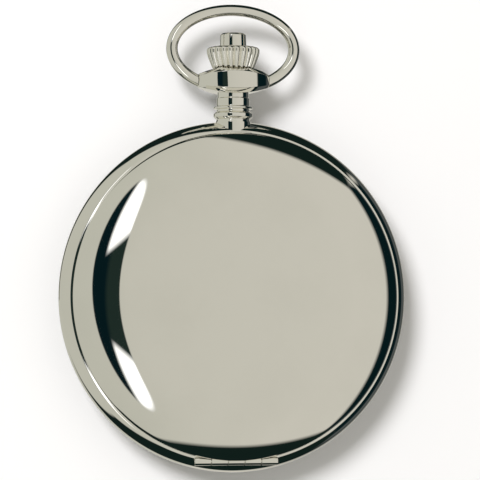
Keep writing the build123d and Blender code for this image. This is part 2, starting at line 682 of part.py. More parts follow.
def release_collar():
    body = rod_y(RELEASE_RADIUS, COLLAR_NOSE_Y, PIN_SLOT_Y + 0.5)
    body -= rod_y(STEM_RADIUS + STEM_RUN, COLLAR_NOSE_Y - 1, PIN_SLOT_Y + 2)
    return body - rod_x(0.12, -RELEASE_RADIUS, RELEASE_RADIUS, PIN_SLOT_Y, STEM_Z)


def crown_gasket():
    return rod_y(NECK_BORE - 0.05, CROWN_Y - 1.9, CROWN_Y - 1.3) - rod_y(STEM_RADIUS, CROWN_Y - 3, CROWN_Y)


# ---------------------------------------------------------------- dial side
def dial():
    sub_radius = 4.6
    face = disc(FLANGE_RADIUS - 0.4, PLATE_HIGH, DIAL_HIGH)
    face -= disc(sub_radius, DIAL_HIGH - 0.12, DIAL_HIGH + 1, FOURTH)
    face -= disc(1.6, PLATE_HIGH - 1, DIAL_HIGH + 1)
    return face - disc(0.35, PLATE_HIGH - 1, DIAL_HIGH + 1, FOURTH)


HOUR_TUBE_RADIUS = 1.25
CANNON_TUBE_RADIUS = 0.8
HAND_THICKNESS = 0.15
HOUR_HAND_Z = DIAL_HIGH + 0.3
MINUTE_HAND_Z = HOUR_HAND_Z + 0.35
SECONDS_HAND_Z = DIAL_HIGH + 0.05


def spade(length, hub, bore, low, thickness, at, heading, width):
    """A spade hand: a tapered stalk, a round belly and a long tip."""
    belly = polar(0.62 * length, heading, at)
    tip = polar(length, heading, at)
    neck = polar(0.62 * length + width, heading, at)
    hand = bar(at, belly, 0.5 * width, low, low + thickness, 0.3 * width)
    hand += disc(width, low, low + thickness, belly)
    hand += bar(neck, tip, 0.9 * width, low, low + thickness, 0.12 * width)
    hand += disc(hub, low, low + thickness, at)
    return hand - disc(bore, low - 1, low + thickness + 1, at)


def seconds_hand():
    low, high = SECONDS_HAND_Z, SECONDS_HAND_Z + 0.12
    tip, tail = polar(3.9, 90, FOURTH), polar(1.3, -90, FOURTH)
    return bar(tail, tip, 0.3, low, high, 0.12) + disc(0.5, low - 0.1, high, FOURTH) - disc(
        0.18, low - 1, high + 1, FOURTH
    )


CENTRE_PHASE = 0.0
_, HEADING_THIRD = between(CENTRE, THIRD)
_, HEADING_FOURTH = between(THIRD, FOURTH)
_, HEADING_BARREL = between(BARREL, CENTRE)
_, HEADING_WINDING = between(CROWN_WHEEL, BARREL)
_, HEADING_SETTING = between(MINUTE, SETTING)
CANNON_PHASE = meshed(0.0, MINUTE_TEETH, MINUTE_ANGLE + 180, CANNON_LEAVES)
HOUR_PHASE = meshed(0.0, MINUTE_LEAVES, MINUTE_ANGLE + 180, HOUR_TEETH)


def cannon_pinion():
    low = MOTION_Z
    body = gear(CANNON_LEAVES, CANNON_MODULE, low, low + 0.4, CENTRE, CANNON_PHASE)
    body += disc(CANNON_TUBE_RADIUS, low, MINUTE_HAND_Z + 0.25)
    return body - disc(0.45, low - 1, MINUTE_HAND_Z + 1)


def hour_wheel():
    low = MOTION_Z + 0.55
    body = gear(HOUR_TEETH, HOUR_MODULE, low, low + 0.3, CENTRE, HOUR_PHASE)
    body += disc(HOUR_TUBE_RADIUS, low, HOUR_HAND_Z + 0.2)
    return body - disc(CANNON_TUBE_RADIUS + STEM_RUN, low - 1, HOUR_HAND_Z + 1)


def minute_wheel():
    low = MOTION_Z
    body = gear(MINUTE_TEETH, CANNON_MODULE, low, low + 0.35, MINUTE)
    body += gear(MINUTE_LEAVES, HOUR_MODULE, low, low + 0.9, MINUTE)
    return body - disc(0.3 + STEM_RUN, low - 1, low + 2, MINUTE)


def setting_wheel():
    low = MOTION_Z
    phase = meshed(0.0, MINUTE_TEETH, HEADING_SETTING, SETTING_TEETH)
    body = gear(SETTING_TEETH, CANNON_MODULE, low, low + 0.35, SETTING, phase)
    return body - disc(0.4 + STEM_RUN, low - 1, low + 2, SETTING)


# ---------------------------------------------------------------- winding work
def winding_pinion():
    """The pinion whose teeth turn the crown wheel, loose on the stem."""
    flat = make_face(Polyline(*tooth_outline(WINDING_LEAVES, WINDING_MODULE * 0.92, 0.0), close=True))
    body = extrude(flat, WINDING_LENGTH, dir=(0, 0, 1))
    body = Pos(0, WINDING_Y + WINDING_LENGTH / 2, STEM_Z) * Rot(90, 0, 0) * Rot(0, 0, 90) * body
    return body - rod_y(STEM_RADIUS + STEM_RUN, WINDING_Y - 3, WINDING_Y + 3)


def sliding_pinion():
    """The clutch on the stem's square, with a groove for the yoke."""
    low, high = SLIDING_START, SLIDING_START + SLIDING_LENGTH
    body = rod_y(SLIDING_RADIUS, low, high)
    body -= rod_y(SLIDING_RADIUS + 1, low + 0.55, low + 1.0) - rod_y(0.8, low - 1, high + 1)
    return body - block(-0.43, 0.43, low - 1, high + 1, STEM_Z - 0.43, STEM_Z + 0.43)


LEVER_PIVOT = (4.6, WINDING_Y + 1.9)
YOKE_PIVOT = (-4.6, WINDING_Y + 0.4)
LEVER_Z = PLATE_HIGH - 0.6


def setting_lever():
    """The lever whose pin follows the groove of the stem."""
    nose = (0.75, WINDING_Y + 1.9)
    body = bar(LEVER_PIVOT, nose, 1.3, LEVER_Z, LEVER_Z + 0.4, 0.7)
    body += bar(LEVER_PIVOT, polar(2.2, 120, LEVER_PIVOT), 1.0, LEVER_Z, LEVER_Z + 0.4, 0.6)
    body += disc(0.2, STEM_Z - 0.1, LEVER_Z + 0.1, nose)
    return body - disc(0.4 + STEM_RUN, LEVER_Z - 1, LEVER_Z + 1, LEVER_PIVOT)


def yoke():
    """The lever that shifts the sliding pinion."""
    nose = (-1.0, SLIDING_START + 0.775)
    body = bar(YOKE_PIVOT, nose, 1.0, LEVER_Z, LEVER_Z + 0.4, 0.5)
    body += disc(0.15, STEM_Z + 0.1, LEVER_Z + 0.1, nose)
    return body - disc(0.4 + STEM_RUN, LEVER_Z - 1, LEVER_Z + 1, YOKE_PIVOT)


def setting_spring():
    """The jumper spring beside the setting lever."""
    foot = (8.6, WINDING_Y + 2.4)
    body = bar(foot, polar(2.9, 158, foot), 0.9, LEVER_Z, LEVER_Z + 0.4, 0.3)
    return body + disc(0.9, LEVER_Z, LEVER_Z + 0.4, foot)


# ---------------------------------------------------------------- barrel
BARREL_HIGH = GAP_FLOOR - 0.08
BARREL_WALL = 0.25
CAP_THICKNESS = 0.2
BARREL_ARBOR_RADIUS = 0.9
BARREL_PIVOT_RADIUS = 0.6
RATCHET_Z = CROWN_WHEEL_Z


def barrel_drum():
    body = gear(BARREL_TEETH, BARREL_MODULE, BARREL_Z, BARREL_HIGH - 0.05, BARREL)
    inside = BARREL_MODULE * BARREL_TEETH / 2 - 0.75
    body -= disc(inside, BARREL_Z + BARREL_WALL, BARREL_HIGH + 1, BARREL)
    return body - disc(BARREL_PIVOT_RADIUS + STEM_RUN, BARREL_Z - 1, BARREL_HIGH + 1, BARREL)


def barrel_cover():
    inside = BARREL_MODULE * BARREL_TEETH / 2 - 0.75
    cap = disc(inside, BARREL_HIGH - CAP_THICKNESS - 0.05, BARREL_HIGH - 0.05, BARREL)
    return cap - disc(BARREL_PIVOT_RADIUS + STEM_RUN, BARREL_Z - 1, BARREL_HIGH + 1, BARREL)


def spiral_strip(start, end, turns, thickness, low, high, at, phase):
    """A flat spring wound as an even spiral, with its two ends square."""
    steps = int(turns * 12)
    inner, outer = [], []
    for n in range(steps + 1):
        share = n / steps
        radius = start + (end - start) * share
        angle = phase + 360 * turns * share
        inner.append(polar(radius - thickness / 2, angle, at))
        outer.append(polar(radius + thickness / 2, angle, at))
    edges = [Spline(*inner), Line(inner[-1], outer[-1]), Spline(*outer), Line(outer[0], inner[0])]
    return Pos(0, 0, low) * extrude(make_face(edges), high - low, dir=(0, 0, 1))


def mainspring():
    low = BARREL_Z + BARREL_WALL + 0.05
    high = BARREL_HIGH - CAP_THICKNESS - 0.1
    outer = BARREL_MODULE * BARREL_TEETH / 2 - 0.75 - 0.12
    return spiral_strip(BARREL_ARBOR_RADIUS + 0.35, outer, 11, 0.16, low, high, BARREL, 0)


def barrel_arbor():
    low = BARREL_Z + BARREL_WALL + 0.03
    high = BARREL_HIGH - CAP_THICKNESS - 0.08
    body = disc(BARREL_ARBOR_RADIUS, low, high, BARREL)
    body += disc(BARREL_PIVOT_RADIUS, PLATE_LOW - 0.3, GAP_FLOOR + 0.25, BARREL)
    body += block(
        BARREL[0] - 0.4, BARREL[0] + 0.4, BARREL[1] - 0.4, BARREL[1] + 0.4, RATCHET_Z, PLATE_LOW - 0.2
    )
    return body - disc(0.25, RATCHET_Z - 1, RATCHET_Z + 0.9, BARREL)


def crown_wheel_phase():
    return 90 + 180 / CROWN_WHEEL_TEETH


def ratchet_wheel():
    phase = meshed(crown_wheel_phase(), CROWN_WHEEL_TEETH, HEADING_WINDING, RATCHET_TEETH)
    body = gear(RATCHET_TEETH, WINDING_MODULE, RATCHET_Z, RATCHET_Z + WINDING_WHEEL_THICKNESS, BARREL, phase)
    return body - block(
        BARREL[0] - 0.43, BARREL[0] + 0.43, BARREL[1] - 0.43, BARREL[1] + 0.43, RATCHET_Z - 1, RATCHET_Z + 1
    )


def crown_wheel():
    phase = crown_wheel_phase()
    high = RATCHET_Z + WINDING_WHEEL_THICKNESS
    body = gear(CROWN_WHEEL_TEETH, WINDING_MODULE, RATCHET_Z, high, CROWN_WHEEL, phase)
    return body - disc(1.0 + STEM_RUN, RATCHET_Z - 1, RATCHET_Z + 1, CROWN_WHEEL)


def ratchet_screw():
    return slotted_screw(BARREL, RATCHET_Z - SCREW_HEAD, 1.6, RATCHET_Z + 0.8, 0.25)


def crown_wheel_screw():
    """The shouldered screw that the crown wheel turns on."""
    head = disc(1.7, RATCHET_Z - 0.5, RATCHET_Z - 0.05, CROWN_WHEEL)
    slot = block(-3, 3, CROWN_WHEEL[1] - 0.12, CROWN_WHEEL[1] + 0.12, RATCHET_Z - 0.7, RATCHET_Z - 0.3)
    return head + disc(1.0, RATCHET_Z - 0.1, RATCHET_Z + 0.55, CROWN_WHEEL) - slot


def click():
    """The pawl beside the ratchet wheel, its nose just clear of the teeth."""
    high = RATCHET_Z + WINDING_WHEEL_THICKNESS
    tip_reach = RATCHET_RADIUS + WINDING_MODULE + 0.06
    nose = polar(tip_reach + 0.2, 56, BARREL)
    body = bar(CLICK, nose, 1.3, RATCHET_Z, high, 0.36) + disc(0.8, RATCHET_Z, high, CLICK)
    return body - disc(0.35 + STEM_RUN, RATCHET_Z - 1, high + 1, CLICK)


def click_spring():
    foot = polar(4.2, 25, CLICK)
    high = RATCHET_Z + WINDING_WHEEL_THICKNESS
    arm = bar(foot, polar(1.15, 20, CLICK), 0.35, RATCHET_Z + 0.1, high, 0.16)
    return arm + disc(0.6, RATCHET_Z + 0.1, high, foot)


# ---------------------------------------------------------------- plates
JEWELS_BRIDGE = [CENTRE, THIRD, FOURTH, ESCAPE]
JEWEL_THICKNESS = 0.35
BARREL_BRIDGE_SCREWS = [(-12.5, 8.0), (-7.5, 14.8), (14.6, 12.1), (17.4, 0.4)]
TRAIN_BRIDGE_SCREWS = [(-14.6, -1.6), (-10.0, -14.2), (-1.6, -17.2)]


def mainplate():
    body = disc(MOVEMENT_RADIUS, PLATE_LOW, PLATE_HIGH)
    body += ring(FLANGE_RADIUS, MOVEMENT_RADIUS - 1, FLANGE_Z, PLATE_HIGH)
    pockets = disc(BARREL_TIP + 0.2, PLATE_LOW - 1, GAP_FLOOR, BARREL)
    reaches = [
        (CENTRE, CENTRE_MODULE * CENTRE_TEETH / 2),
        (THIRD, THIRD_MODULE * THIRD_TEETH / 2),
        (FOURTH, FOURTH_MODULE * FOURTH_TEETH / 2),
        (ESCAPE, ESCAPE_RADIUS),
    ]
    for at, radius in reaches:
        pockets += disc(radius + WHEEL_CLEAR, PLATE_LOW - 1, GAP_FLOOR, at)
    pockets += disc(BALANCE_POCKET, PLATE_LOW - 1, SEAT_Z, BALANCE)
    pockets += disc(3.2, PLATE_LOW - 1, GAP_FLOOR, PALLET)
    pockets += bar(PALLET, BALANCE, 3.0, PLATE_LOW - 1, GAP_FLOOR)
    pockets += bar(PALLET, PALLET_FOOT, 2.9, PLATE_LOW - 1, SEAT_Z)
    body -= pockets
    recess = disc(3.6, RECESS_FLOOR, PLATE_HIGH + 1)
    recess += disc(3.3, RECESS_FLOOR, PLATE_HIGH + 1, MINUTE)
    recess += disc(2.1, RECESS_FLOOR, PLATE_HIGH + 1, SETTING)
    recess -= disc(0.3, RECESS_FLOOR - 1, RECESS_FLOOR + 1.2, MINUTE)
    recess -= disc(0.4, RECESS_FLOOR - 1, RECESS_FLOOR + 0.7, SETTING)
    body -= recess
    winding_low, winding_high = WINDING_Y - WINDING_LENGTH / 2 - 0.1, WINDING_Y + WINDING_LENGTH / 2 + 0.1
    body -= block(-2.4, 2.4, winding_low, winding_high, PLATE_LOW - 1, PLATE_HIGH + 1)
    body -= block(-1.5, 1.5, SLIDING_START - 1.0, winding_low + 0.2, PLATE_LOW - 1, PLATE_HIGH + 1)
    body -= rod_y(STEM_RADIUS + STEM_RUN, winding_high - 0.1, MOVEMENT_RADIUS + 3)
    body -= rod_y(0.34 + STEM_RUN, SLIDING_START - 1.8, SLIDING_START)
    levers = bar(LEVER_PIVOT, (0.3, WINDING_Y + 1.9), 3.4, LEVER_Z - 0.05, PLATE_HIGH + 1)
    levers += bar(YOKE_PIVOT, (-0.6, SLIDING_START + 0.775), 2.6, LEVER_Z - 0.05, PLATE_HIGH + 1)
    levers += bar(LEVER_PIVOT, (8.6, WINDING_Y + 2.4), 5.2, LEVER_Z - 0.05, PLATE_HIGH + 1, 2.4)
    body -= levers
    body += disc(0.4, LEVER_Z - 0.1, LEVER_Z + 0.4, LEVER_PIVOT)
    body += disc(0.4, LEVER_Z - 0.1, LEVER_Z + 0.4, YOKE_PIVOT)
    body -= block(0.4, 1.15, WINDING_Y + 1.3, WINDING_Y + 3.4, STEM_Z - 0.4, LEVER_Z)
    body -= disc(0.7, GAP_FLOOR - 1, RECESS_FLOOR + 1)
    for at in (THIRD, FOURTH, ESCAPE, PALLET, BALANCE):
        body -= disc(JEWEL_RADIUS, GAP_FLOOR - 0.5, GAP_FLOOR + JEWEL_THICKNESS, at)
    body -= disc(0.3, GAP_FLOOR - 1, PLATE_HIGH + 1, FOURTH)
    body -= disc(BARREL_PIVOT_RADIUS + STEM_RUN, GAP_FLOOR - 1, GAP_FLOOR + 0.3, BARREL)
    for at in BARREL_BRIDGE_SCREWS + TRAIN_BRIDGE_SCREWS + [COCK_FOOT]:
        body -= disc(0.45, PLATE_LOW - 1, PLATE_LOW + 1.5, at)
    body -= disc(0.45, PLATE_LOW - 1, SEAT_Z + 1.0, PALLET_FOOT)
    return body


CLICK_POST_RADIUS = 0.35


def barrel_bridge():
    rim = MOVEMENT_RADIUS - 0.5
    body = disc(rim, BRIDGE_LOW, PLATE_LOW)
    area = [(-30, 1.7), (2.2, 1.7), (4.0, -2.6), (13.5, -2.6), (30, -0.8), (30, 30), (-30, 30)]
    body = body & plate(area, BRIDGE_LOW - 1, PLATE_LOW + 1)
    body -= disc(BALANCE_POCKET, BRIDGE_LOW - 1, PLATE_LOW + 1, BALANCE)
    body -= disc(2.5, BRIDGE_LOW - 1, PLATE_LOW + 1, COCK_FOOT)
    floor = RATCHET_Z + WINDING_WHEEL_THICKNESS + 0.05
    body -= disc(RATCHET_RADIUS + WINDING_MODULE + 0.15, BRIDGE_LOW - 1, floor, BARREL)
    body -= disc(CROWN_WHEEL_RADIUS + WINDING_MODULE + 0.15, BRIDGE_LOW - 1, floor, CROWN_WHEEL)
    nose = polar(RATCHET_RADIUS + WINDING_MODULE + 0.3, 56, BARREL)
    body -= bar(CLICK, nose, 2.3, BRIDGE_LOW - 1, floor, 1.6)
    body -= bar(CLICK, polar(4.2, 25, CLICK), 1.9, BRIDGE_LOW - 1, floor, 1.6)
    body += disc(CLICK_POST_RADIUS, RATCHET_Z - 0.15, floor + 0.1, CLICK)
    body -= block(-2.1, 2.1, WINDING_Y - WINDING_LENGTH / 2 - 0.1, WINDING_Y + WINDING_LENGTH / 2 + 0.1,
                  BRIDGE_LOW - 1, PLATE_LOW + 1)
    body -= disc(1.0, floor - 1, RATCHET_Z + 0.56, CROWN_WHEEL)
    body -= disc(BARREL_PIVOT_RADIUS + STEM_RUN, floor - 1, PLATE_LOW + 1, BARREL)
    for at in BARREL_BRIDGE_SCREWS:
        body -= screw_seat(at, BRIDGE_LOW, 1.05, PLATE_LOW + 1)
    return body


def train_bridge():
    rim = MOVEMENT_RADIUS - 0.5
    area = [(-30, 1.4), (2.0, 1.4), (3.6, -2.6), (3.6, -6.0), (7.5, -12.0), (6.0, -30), (-30, -30)]
    body = disc(rim, BRIDGE_LOW, PLATE_LOW) & plate(area, BRIDGE_LOW - 1, PLATE_LOW + 1)
    body -= disc(BALANCE_POCKET, BRIDGE_LOW - 1, PLATE_LOW + 1, BALANCE)
    body -= disc(2.0, BRIDGE_LOW - 1, PLATE_LOW + 1, PALLET)
    for at in JEWELS_BRIDGE:
        body -= disc(JEWEL_RADIUS, PLATE_LOW - JEWEL_THICKNESS, PLATE_LOW + 1, at)
        body -= disc(0.35, BRIDGE_LOW - 1, PLATE_LOW + 1, at)
        body -= disc(0.8, BRIDGE_LOW - 1, BRIDGE_LOW + 0.3, at)
    for at in TRAIN_BRIDGE_SCREWS:
        body -= screw_seat(at, BRIDGE_LOW, 1.05, PLATE_LOW + 1)
    return body


PALLET_SCREW_HEAD = 0.35
PALLET_SCREW_SINK = 0.25


def pallet_cock():
    low, high = PLATE_LOW + 0.08, SEAT_Z
    body = bar(PALLET, PALLET_FOOT, 1.7, low, high, 2.4)
    body -= disc(PIVOT_RADIUS + PIVOT_RUN, low - 1, high + 1, PALLET)
    return body - screw_seat(PALLET_FOOT, low, 0.8, high + 1, PALLET_SCREW_SINK)


def balance_cock():
    high = COCK_LOW + COCK_THICKNESS
    body = bar(BALANCE, COCK_FOOT, 3.4, COCK_LOW, high, 3.8)
    body += disc(1.9, COCK_LOW, PLATE_LOW, COCK_FOOT)
    body -= disc(JEWEL_RADIUS, high - JEWEL_THICKNESS, high + 1, BALANCE)
    body -= disc(0.35, COCK_LOW - 1, high, BALANCE)
    return body - screw_seat(COCK_FOOT, COCK_LOW, 1.05, PLATE_LOW + 1)


def bridge_screws():
    screws = []
    for at in BARREL_BRIDGE_SCREWS + TRAIN_BRIDGE_SCREWS:
        screws.append(slotted_screw(at, BRIDGE_LOW + SCREW_SINK, 1.05, PLATE_LOW + 1.4))
    screws.append(slotted_screw(COCK_FOOT, COCK_LOW + SCREW_SINK, 1.05, PLATE_LOW + 1.4))
    low = PLATE_LOW + 0.08 + PALLET_SCREW_SINK - PALLET_SCREW_HEAD
    screws.append(slotted_screw(PALLET_FOOT, low, 0.8, SEAT_Z + 0.9, head=PALLET_SCREW_HEAD))
    return screws


def spring_screws():
    """The screws that hold the catch spring and the lift spring."""
    screws = []
    for at in (CATCH_SCREW, LIFT_SCREW):
        screws.append(slotted_screw(at, BAND_LOW + SCREW_SINK, 0.7, SPRING_SLOT_HIGH + 0.8, 0.38, 0.45))
    return screws


def jewels():
    """Ruby bearings with a hole for each pivot."""
    stones = []
    top = COCK_LOW + COCK_THICKNESS
    for at in (THIRD, FOURTH, ESCAPE, PALLET, BALANCE):
        bore = PIVOT_RADIUS + PIVOT_RUN if at != FOURTH else 0.2
        stones.append(ring(JEWEL_RADIUS, bore, GAP_FLOOR, GAP_FLOOR + JEWEL_THICKNESS, at))
    for at in JEWELS_BRIDGE:
        low = PLATE_LOW - JEWEL_THICKNESS
        stones.append(ring(JEWEL_RADIUS, PIVOT_RADIUS + PIVOT_RUN, low, PLATE_LOW, at))
    stones.append(ring(JEWEL_RADIUS, PIVOT_RADIUS + PIVOT_RUN, top - JEWEL_THICKNESS, top, BALANCE))
    return stones


# ---------------------------------------------------------------- going train
JEWEL_END_LOW = PLATE_LOW - JEWEL_THICKNESS + 0.05
JEWEL_END_HIGH = GAP_FLOOR + JEWEL_THICKNESS - 0.05


def centre_wheel():
    """The wheel that turns once an hour, its arbor carrying the cannon pinion."""
    phase = meshed(0.0, BARREL_TEETH, HEADING_BARREL, CENTRE_LEAVES)
    body = spoked_gear(CENTRE_TEETH, CENTRE_MODULE, CENTRE_Z, CENTRE_Z + WHEEL_THICKNESS, CENTRE)
    body += disc(0.6, CENTRE_Z, GAP_FLOOR + 0.1)
    body += gear(CENTRE_LEAVES, BARREL_MODULE, BARREL_Z, BARREL_HIGH - 0.05, CENTRE, phase)
    return body + disc(PIVOT_RADIUS, JEWEL_END_LOW, CENTRE_Z) + disc(0.44, GAP_FLOOR, MINUTE_HAND_Z)


def third_wheel():
    phase = meshed(CENTRE_PHASE, CENTRE_TEETH, HEADING_THIRD, THIRD_LEAVES)
    body = spoked_gear(THIRD_TEETH, THIRD_MODULE, THIRD_Z, THIRD_Z + WHEEL_THICKNESS, THIRD)
    body += arbor(THIRD, JEWEL_END_LOW, JEWEL_END_HIGH, PLATE_LOW + 0.05, GAP_FLOOR - 0.05)
    return body + gear(THIRD_LEAVES, CENTRE_MODULE, PLATE_LOW + 0.08, THIRD_Z, THIRD, phase)


def fourth_wheel():
    """The seconds wheel, its long pivot carrying the seconds hand."""
    phase = meshed(0.0, THIRD_TEETH, HEADING_FOURTH, FOURTH_LEAVES)
    body = spoked_gear(FOURTH_TEETH, FOURTH_MODULE, FOURTH_Z, FOURTH_Z + WHEEL_THICKNESS, FOURTH)
    body += arbor(FOURTH, JEWEL_END_LOW, GAP_FLOOR, PLATE_LOW + 0.05, GAP_FLOOR - 0.05)
    body += disc(0.17, GAP_FLOOR - 0.1, SECONDS_HAND_Z + 0.1, FOURTH)
    return body + gear(FOURTH_LEAVES, THIRD_MODULE, FOURTH_Z, GAP_FLOOR - 0.1, FOURTH, phase)


ESCAPE_PHASE = 4.0


def escape_wheel():
    """Fifteen club teeth, leaning forwards."""
    phase = meshed(0.0, FOURTH_TEETH, ESCAPE_ANGLE, ESCAPE_LEAVES)
    root = ESCAPE_RADIUS - 0.6
    points = []
    for n in range(ESCAPE_TEETH):
        start = LEVER_ANGLE + ESCAPE_PHASE + n * 360 / ESCAPE_TEETH
        profile = [(root, 0), (ESCAPE_RADIUS - 0.12, 7), (ESCAPE_RADIUS, 10.5), (root + 0.1, 9.5)]
        points += [polar(radius, start + turn, ESCAPE) for radius, turn in profile]
    body = plate(points, ESCAPE_Z, ESCAPE_Z + WHEEL_THICKNESS)
    body -= spokes_cut(root - 0.3, 0.75, 4, 0.3, ESCAPE_Z, ESCAPE_Z + WHEEL_THICKNESS, ESCAPE, 45)
    body += arbor(ESCAPE, JEWEL_END_LOW, JEWEL_END_HIGH, PLATE_LOW + 0.3, GAP_FLOOR - 0.05)
    low = FOURTH_Z - 0.1
    return body + gear(ESCAPE_LEAVES, FOURTH_MODULE, low, ESCAPE_Z, ESCAPE, phase)


# ---------------------------------------------------------------- escapement
LEVER_LOW = ESCAPE_Z - 0.3
LEVER_HIGH = ESCAPE_Z - 0.08
STONE_SPAN = 31.0
STONE_REACH = ESCAPE_RADIUS + 0.06
ROLLER_Z = SEAT_Z - 0.12


def stone_places():
    return [LEVER_ANGLE - STONE_SPAN, LEVER_ANGLE + STONE_SPAN]


def pallet_fork():
    """The lever: two arms for the stones, a long arm with two horns, and a staff."""
    horn = BALANCE_REACH - 1.3
    tip = polar(horn, LEVER_ANGLE, PALLET)
    body = bar(PALLET, tip, 0.5, LEVER_LOW, LEVER_HIGH, 0.5)
    for side in (-1, 1):
        spot = polar(0.3, LEVER_ANGLE + side * 90, tip)
        body += bar(tip, spot, 0.3, LEVER_LOW, LEVER_HIGH)
    for angle in stone_places():
        body += bar(PALLET, polar(STONE_REACH + 0.3, angle, ESCAPE), 0.5, LEVER_LOW, LEVER_HIGH, 0.4)
    low, high = PLATE_LOW + 0.2, GAP_FLOOR + JEWEL_THICKNESS - 0.05
    return body + disc(PIVOT_RADIUS, low, high, PALLET) + disc(0.3, SEAT_Z + 0.05, GAP_FLOOR - 0.05, PALLET)


def pallet_stones():
    stones = []
    for angle in stone_places():
        near, far = polar(STONE_REACH, angle, ESCAPE), polar(STONE_REACH + 0.55, angle, ESCAPE)
        heading = angle
        corners = [
            polar(0.13, heading + 90, near),
            polar(0.13, heading + 90, far),
            polar(0.13, heading - 90, far),
            polar(0.13, heading - 90, near),
        ]
        stones.append(plate(corners, LEVER_HIGH, ESCAPE_Z + WHEEL_THICKNESS + 0.05))
    return stones


def balance_wheel():
    """A rim with two arms and timing screws."""
    low, high = BALANCE_Z, BALANCE_Z + BALANCE_HEIGHT
    body = ring(BALANCE_RADIUS - 0.35, BALANCE_RADIUS - 0.9, low, high, BALANCE)
    reach = BALANCE_RADIUS - 0.6
    body += bar(polar(reach, 10, BALANCE), polar(reach, 190, BALANCE), 0.55, low + 0.15, low + 0.4)
    body += disc(0.9, low + 0.15, low + 0.45, BALANCE)
    middle = (low + high) / 2
    for n in range(14):
        angle = n * 360 / 14 + 18
        screw = Cylinder(0.24, 0.45, align=(Align.CENTER, Align.CENTER, Align.MIN))
        spot = polar(BALANCE_RADIUS - 0.45, angle, BALANCE)
        body += Pos(spot[0], spot[1], middle) * Rot(0, 0, angle) * Rot(0, 90, 0) * screw
    return body - disc(0.3, low - 1, high + 1, BALANCE)


def balance_staff():
    """The staff with its roller and impulse pin."""
    low = COCK_LOW + COCK_THICKNESS - JEWEL_THICKNESS + 0.05
    high = GAP_FLOOR + JEWEL_THICKNESS - 0.05
    body = disc(PIVOT_RADIUS, low, high, BALANCE)
    body += disc(0.3, COCK_LOW + COCK_THICKNESS + 0.1, GAP_FLOOR - 0.1, BALANCE)
    body += disc(1.05, ROLLER_Z - 0.2, ROLLER_Z, BALANCE)
    pin = polar(0.8, LEVER_ANGLE + 180, BALANCE)
    return body + disc(0.12, ROLLER_Z - 0.1, LEVER_HIGH + 0.02, pin)


HAIRSPRING_Z = COCK_LOW + COCK_THICKNESS + 0.25


def hairspring():
    high = HAIRSPRING_Z + 0.22
    spring = spiral_strip(0.62, 3.6, 9, 0.08, HAIRSPRING_Z, high, BALANCE, 0)
    return spring + ring(0.62, 0.3, HAIRSPRING_Z, high, BALANCE)


def regulator():
    """The index lever on the balance cock."""
    low, high = COCK_LOW - 0.25, COCK_LOW - 0.03
    body = ring(1.5, 0.7, low, high, BALANCE)
    heading = 205.0
    tip = polar(4.0, heading, BALANCE)
    body += bar(polar(1.3, heading, BALANCE), tip, 0.7, low, high, 0.2)
    return body


# ---------------------------------------------------------------- all nodes
def spade_hour():
    return spade(9.4, 1.9, HOUR_TUBE_RADIUS, HOUR_HAND_Z, HAND_THICKNESS, CENTRE, 305, 1.0)


def spade_minute():
    return spade(14.2, 1.4, CANNON_TUBE_RADIUS, MINUTE_HAND_Z, HAND_THICKNESS, CENTRE, 54, 0.8)


def front_hinge_pin():
    return hinge_pin(BAND_HIGH)


def back_hinge_pin():
    return hinge_pin(BAND_LOW)


NODES = {
    "case_middle": case_middle,
    "front_cover": front_cover,
    "back_cover": back_cover,
    "front_hinge_pin": front_hinge_pin,
    "back_hinge_pin": back_hinge_pin,
    "bezel": bezel,
    "crystal": crystal,
    "pendant_neck": pendant_neck,
    "bow": bow,
    "bow_collar": bow_collar,
    "bow_pivots": bow_pivots,
    "lift_spring": lift_spring,
    "catch_spring": catch_spring,
    "crown": crown,
    "push_button": push_button,
    "push_rod": push_rod,
    "release_collar": release_collar,
    "winding_stem": winding_stem,
    "crown_gasket": crown_gasket,
    "dial": dial,
    "hour_hand": spade_hour,
    "minute_hand": spade_minute,
    "seconds_hand": seconds_hand,
    "cannon_pinion": cannon_pinion,
    "minute_wheel": minute_wheel,
    "hour_wheel": hour_wheel,
    "setting_wheel": setting_wheel,
    "winding_pinion": winding_pinion,
    "sliding_pinion": sliding_pinion,
    "setting_lever": setting_lever,
    "yoke": yoke,
    "setting_spring": setting_spring,
    "barrel_drum": barrel_drum,
    "barrel_cover": barrel_cover,
    "mainspring": mainspring,
    "barrel_arbor": barrel_arbor,
    "ratchet_wheel": ratchet_wheel,
    "crown_wheel": crown_wheel,
    "ratchet_screw": ratchet_screw,
    "crown_wheel_screw": crown_wheel_screw,
    "click": click,
    "click_spring": click_spring,
    "mainplate": mainplate,
    "barrel_bridge": barrel_bridge,
    "train_bridge": train_bridge,
    "pallet_cock": pallet_cock,
    "balance_cock": balance_cock,
    "bridge_screws": bridge_screws,
    "spring_screws": spring_screws,
    "centre_wheel": centre_wheel,
    "third_wheel": third_wheel,
    "fourth_wheel": fourth_wheel,
    "escape_wheel": escape_wheel,
    "pallet_fork": pallet_fork,
    "pallet_stones": pallet_stones,
    "balance_wheel": balance_wheel,
    "balance_staff": balance_staff,
    "hairspring": hairspring,
    "regulator": regulator,
    "jewels": jewels,
}


def main():
    os.makedirs("parts", exist_ok=True)
    for name, make in NODES.items():
        made = make()
        pieces = made if isinstance(made, list) else [made]
        solids = [solid for piece in pieces for solid in piece.solids()]
        export_step(Compound(solids) if len(solids) > 1 else solids[0], f"parts/{name}.step")
        print(f"{name:18s} {len(solids)} solid(s) {sum(s.volume for s in solids):9.3f} mm3")


main()
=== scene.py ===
import json
from math import acos, asin, cos, degrees, pi, radians, sin, sqrt, tan

import bmesh
import bpy
import numpy as np
from mathutils import Matrix, Vector


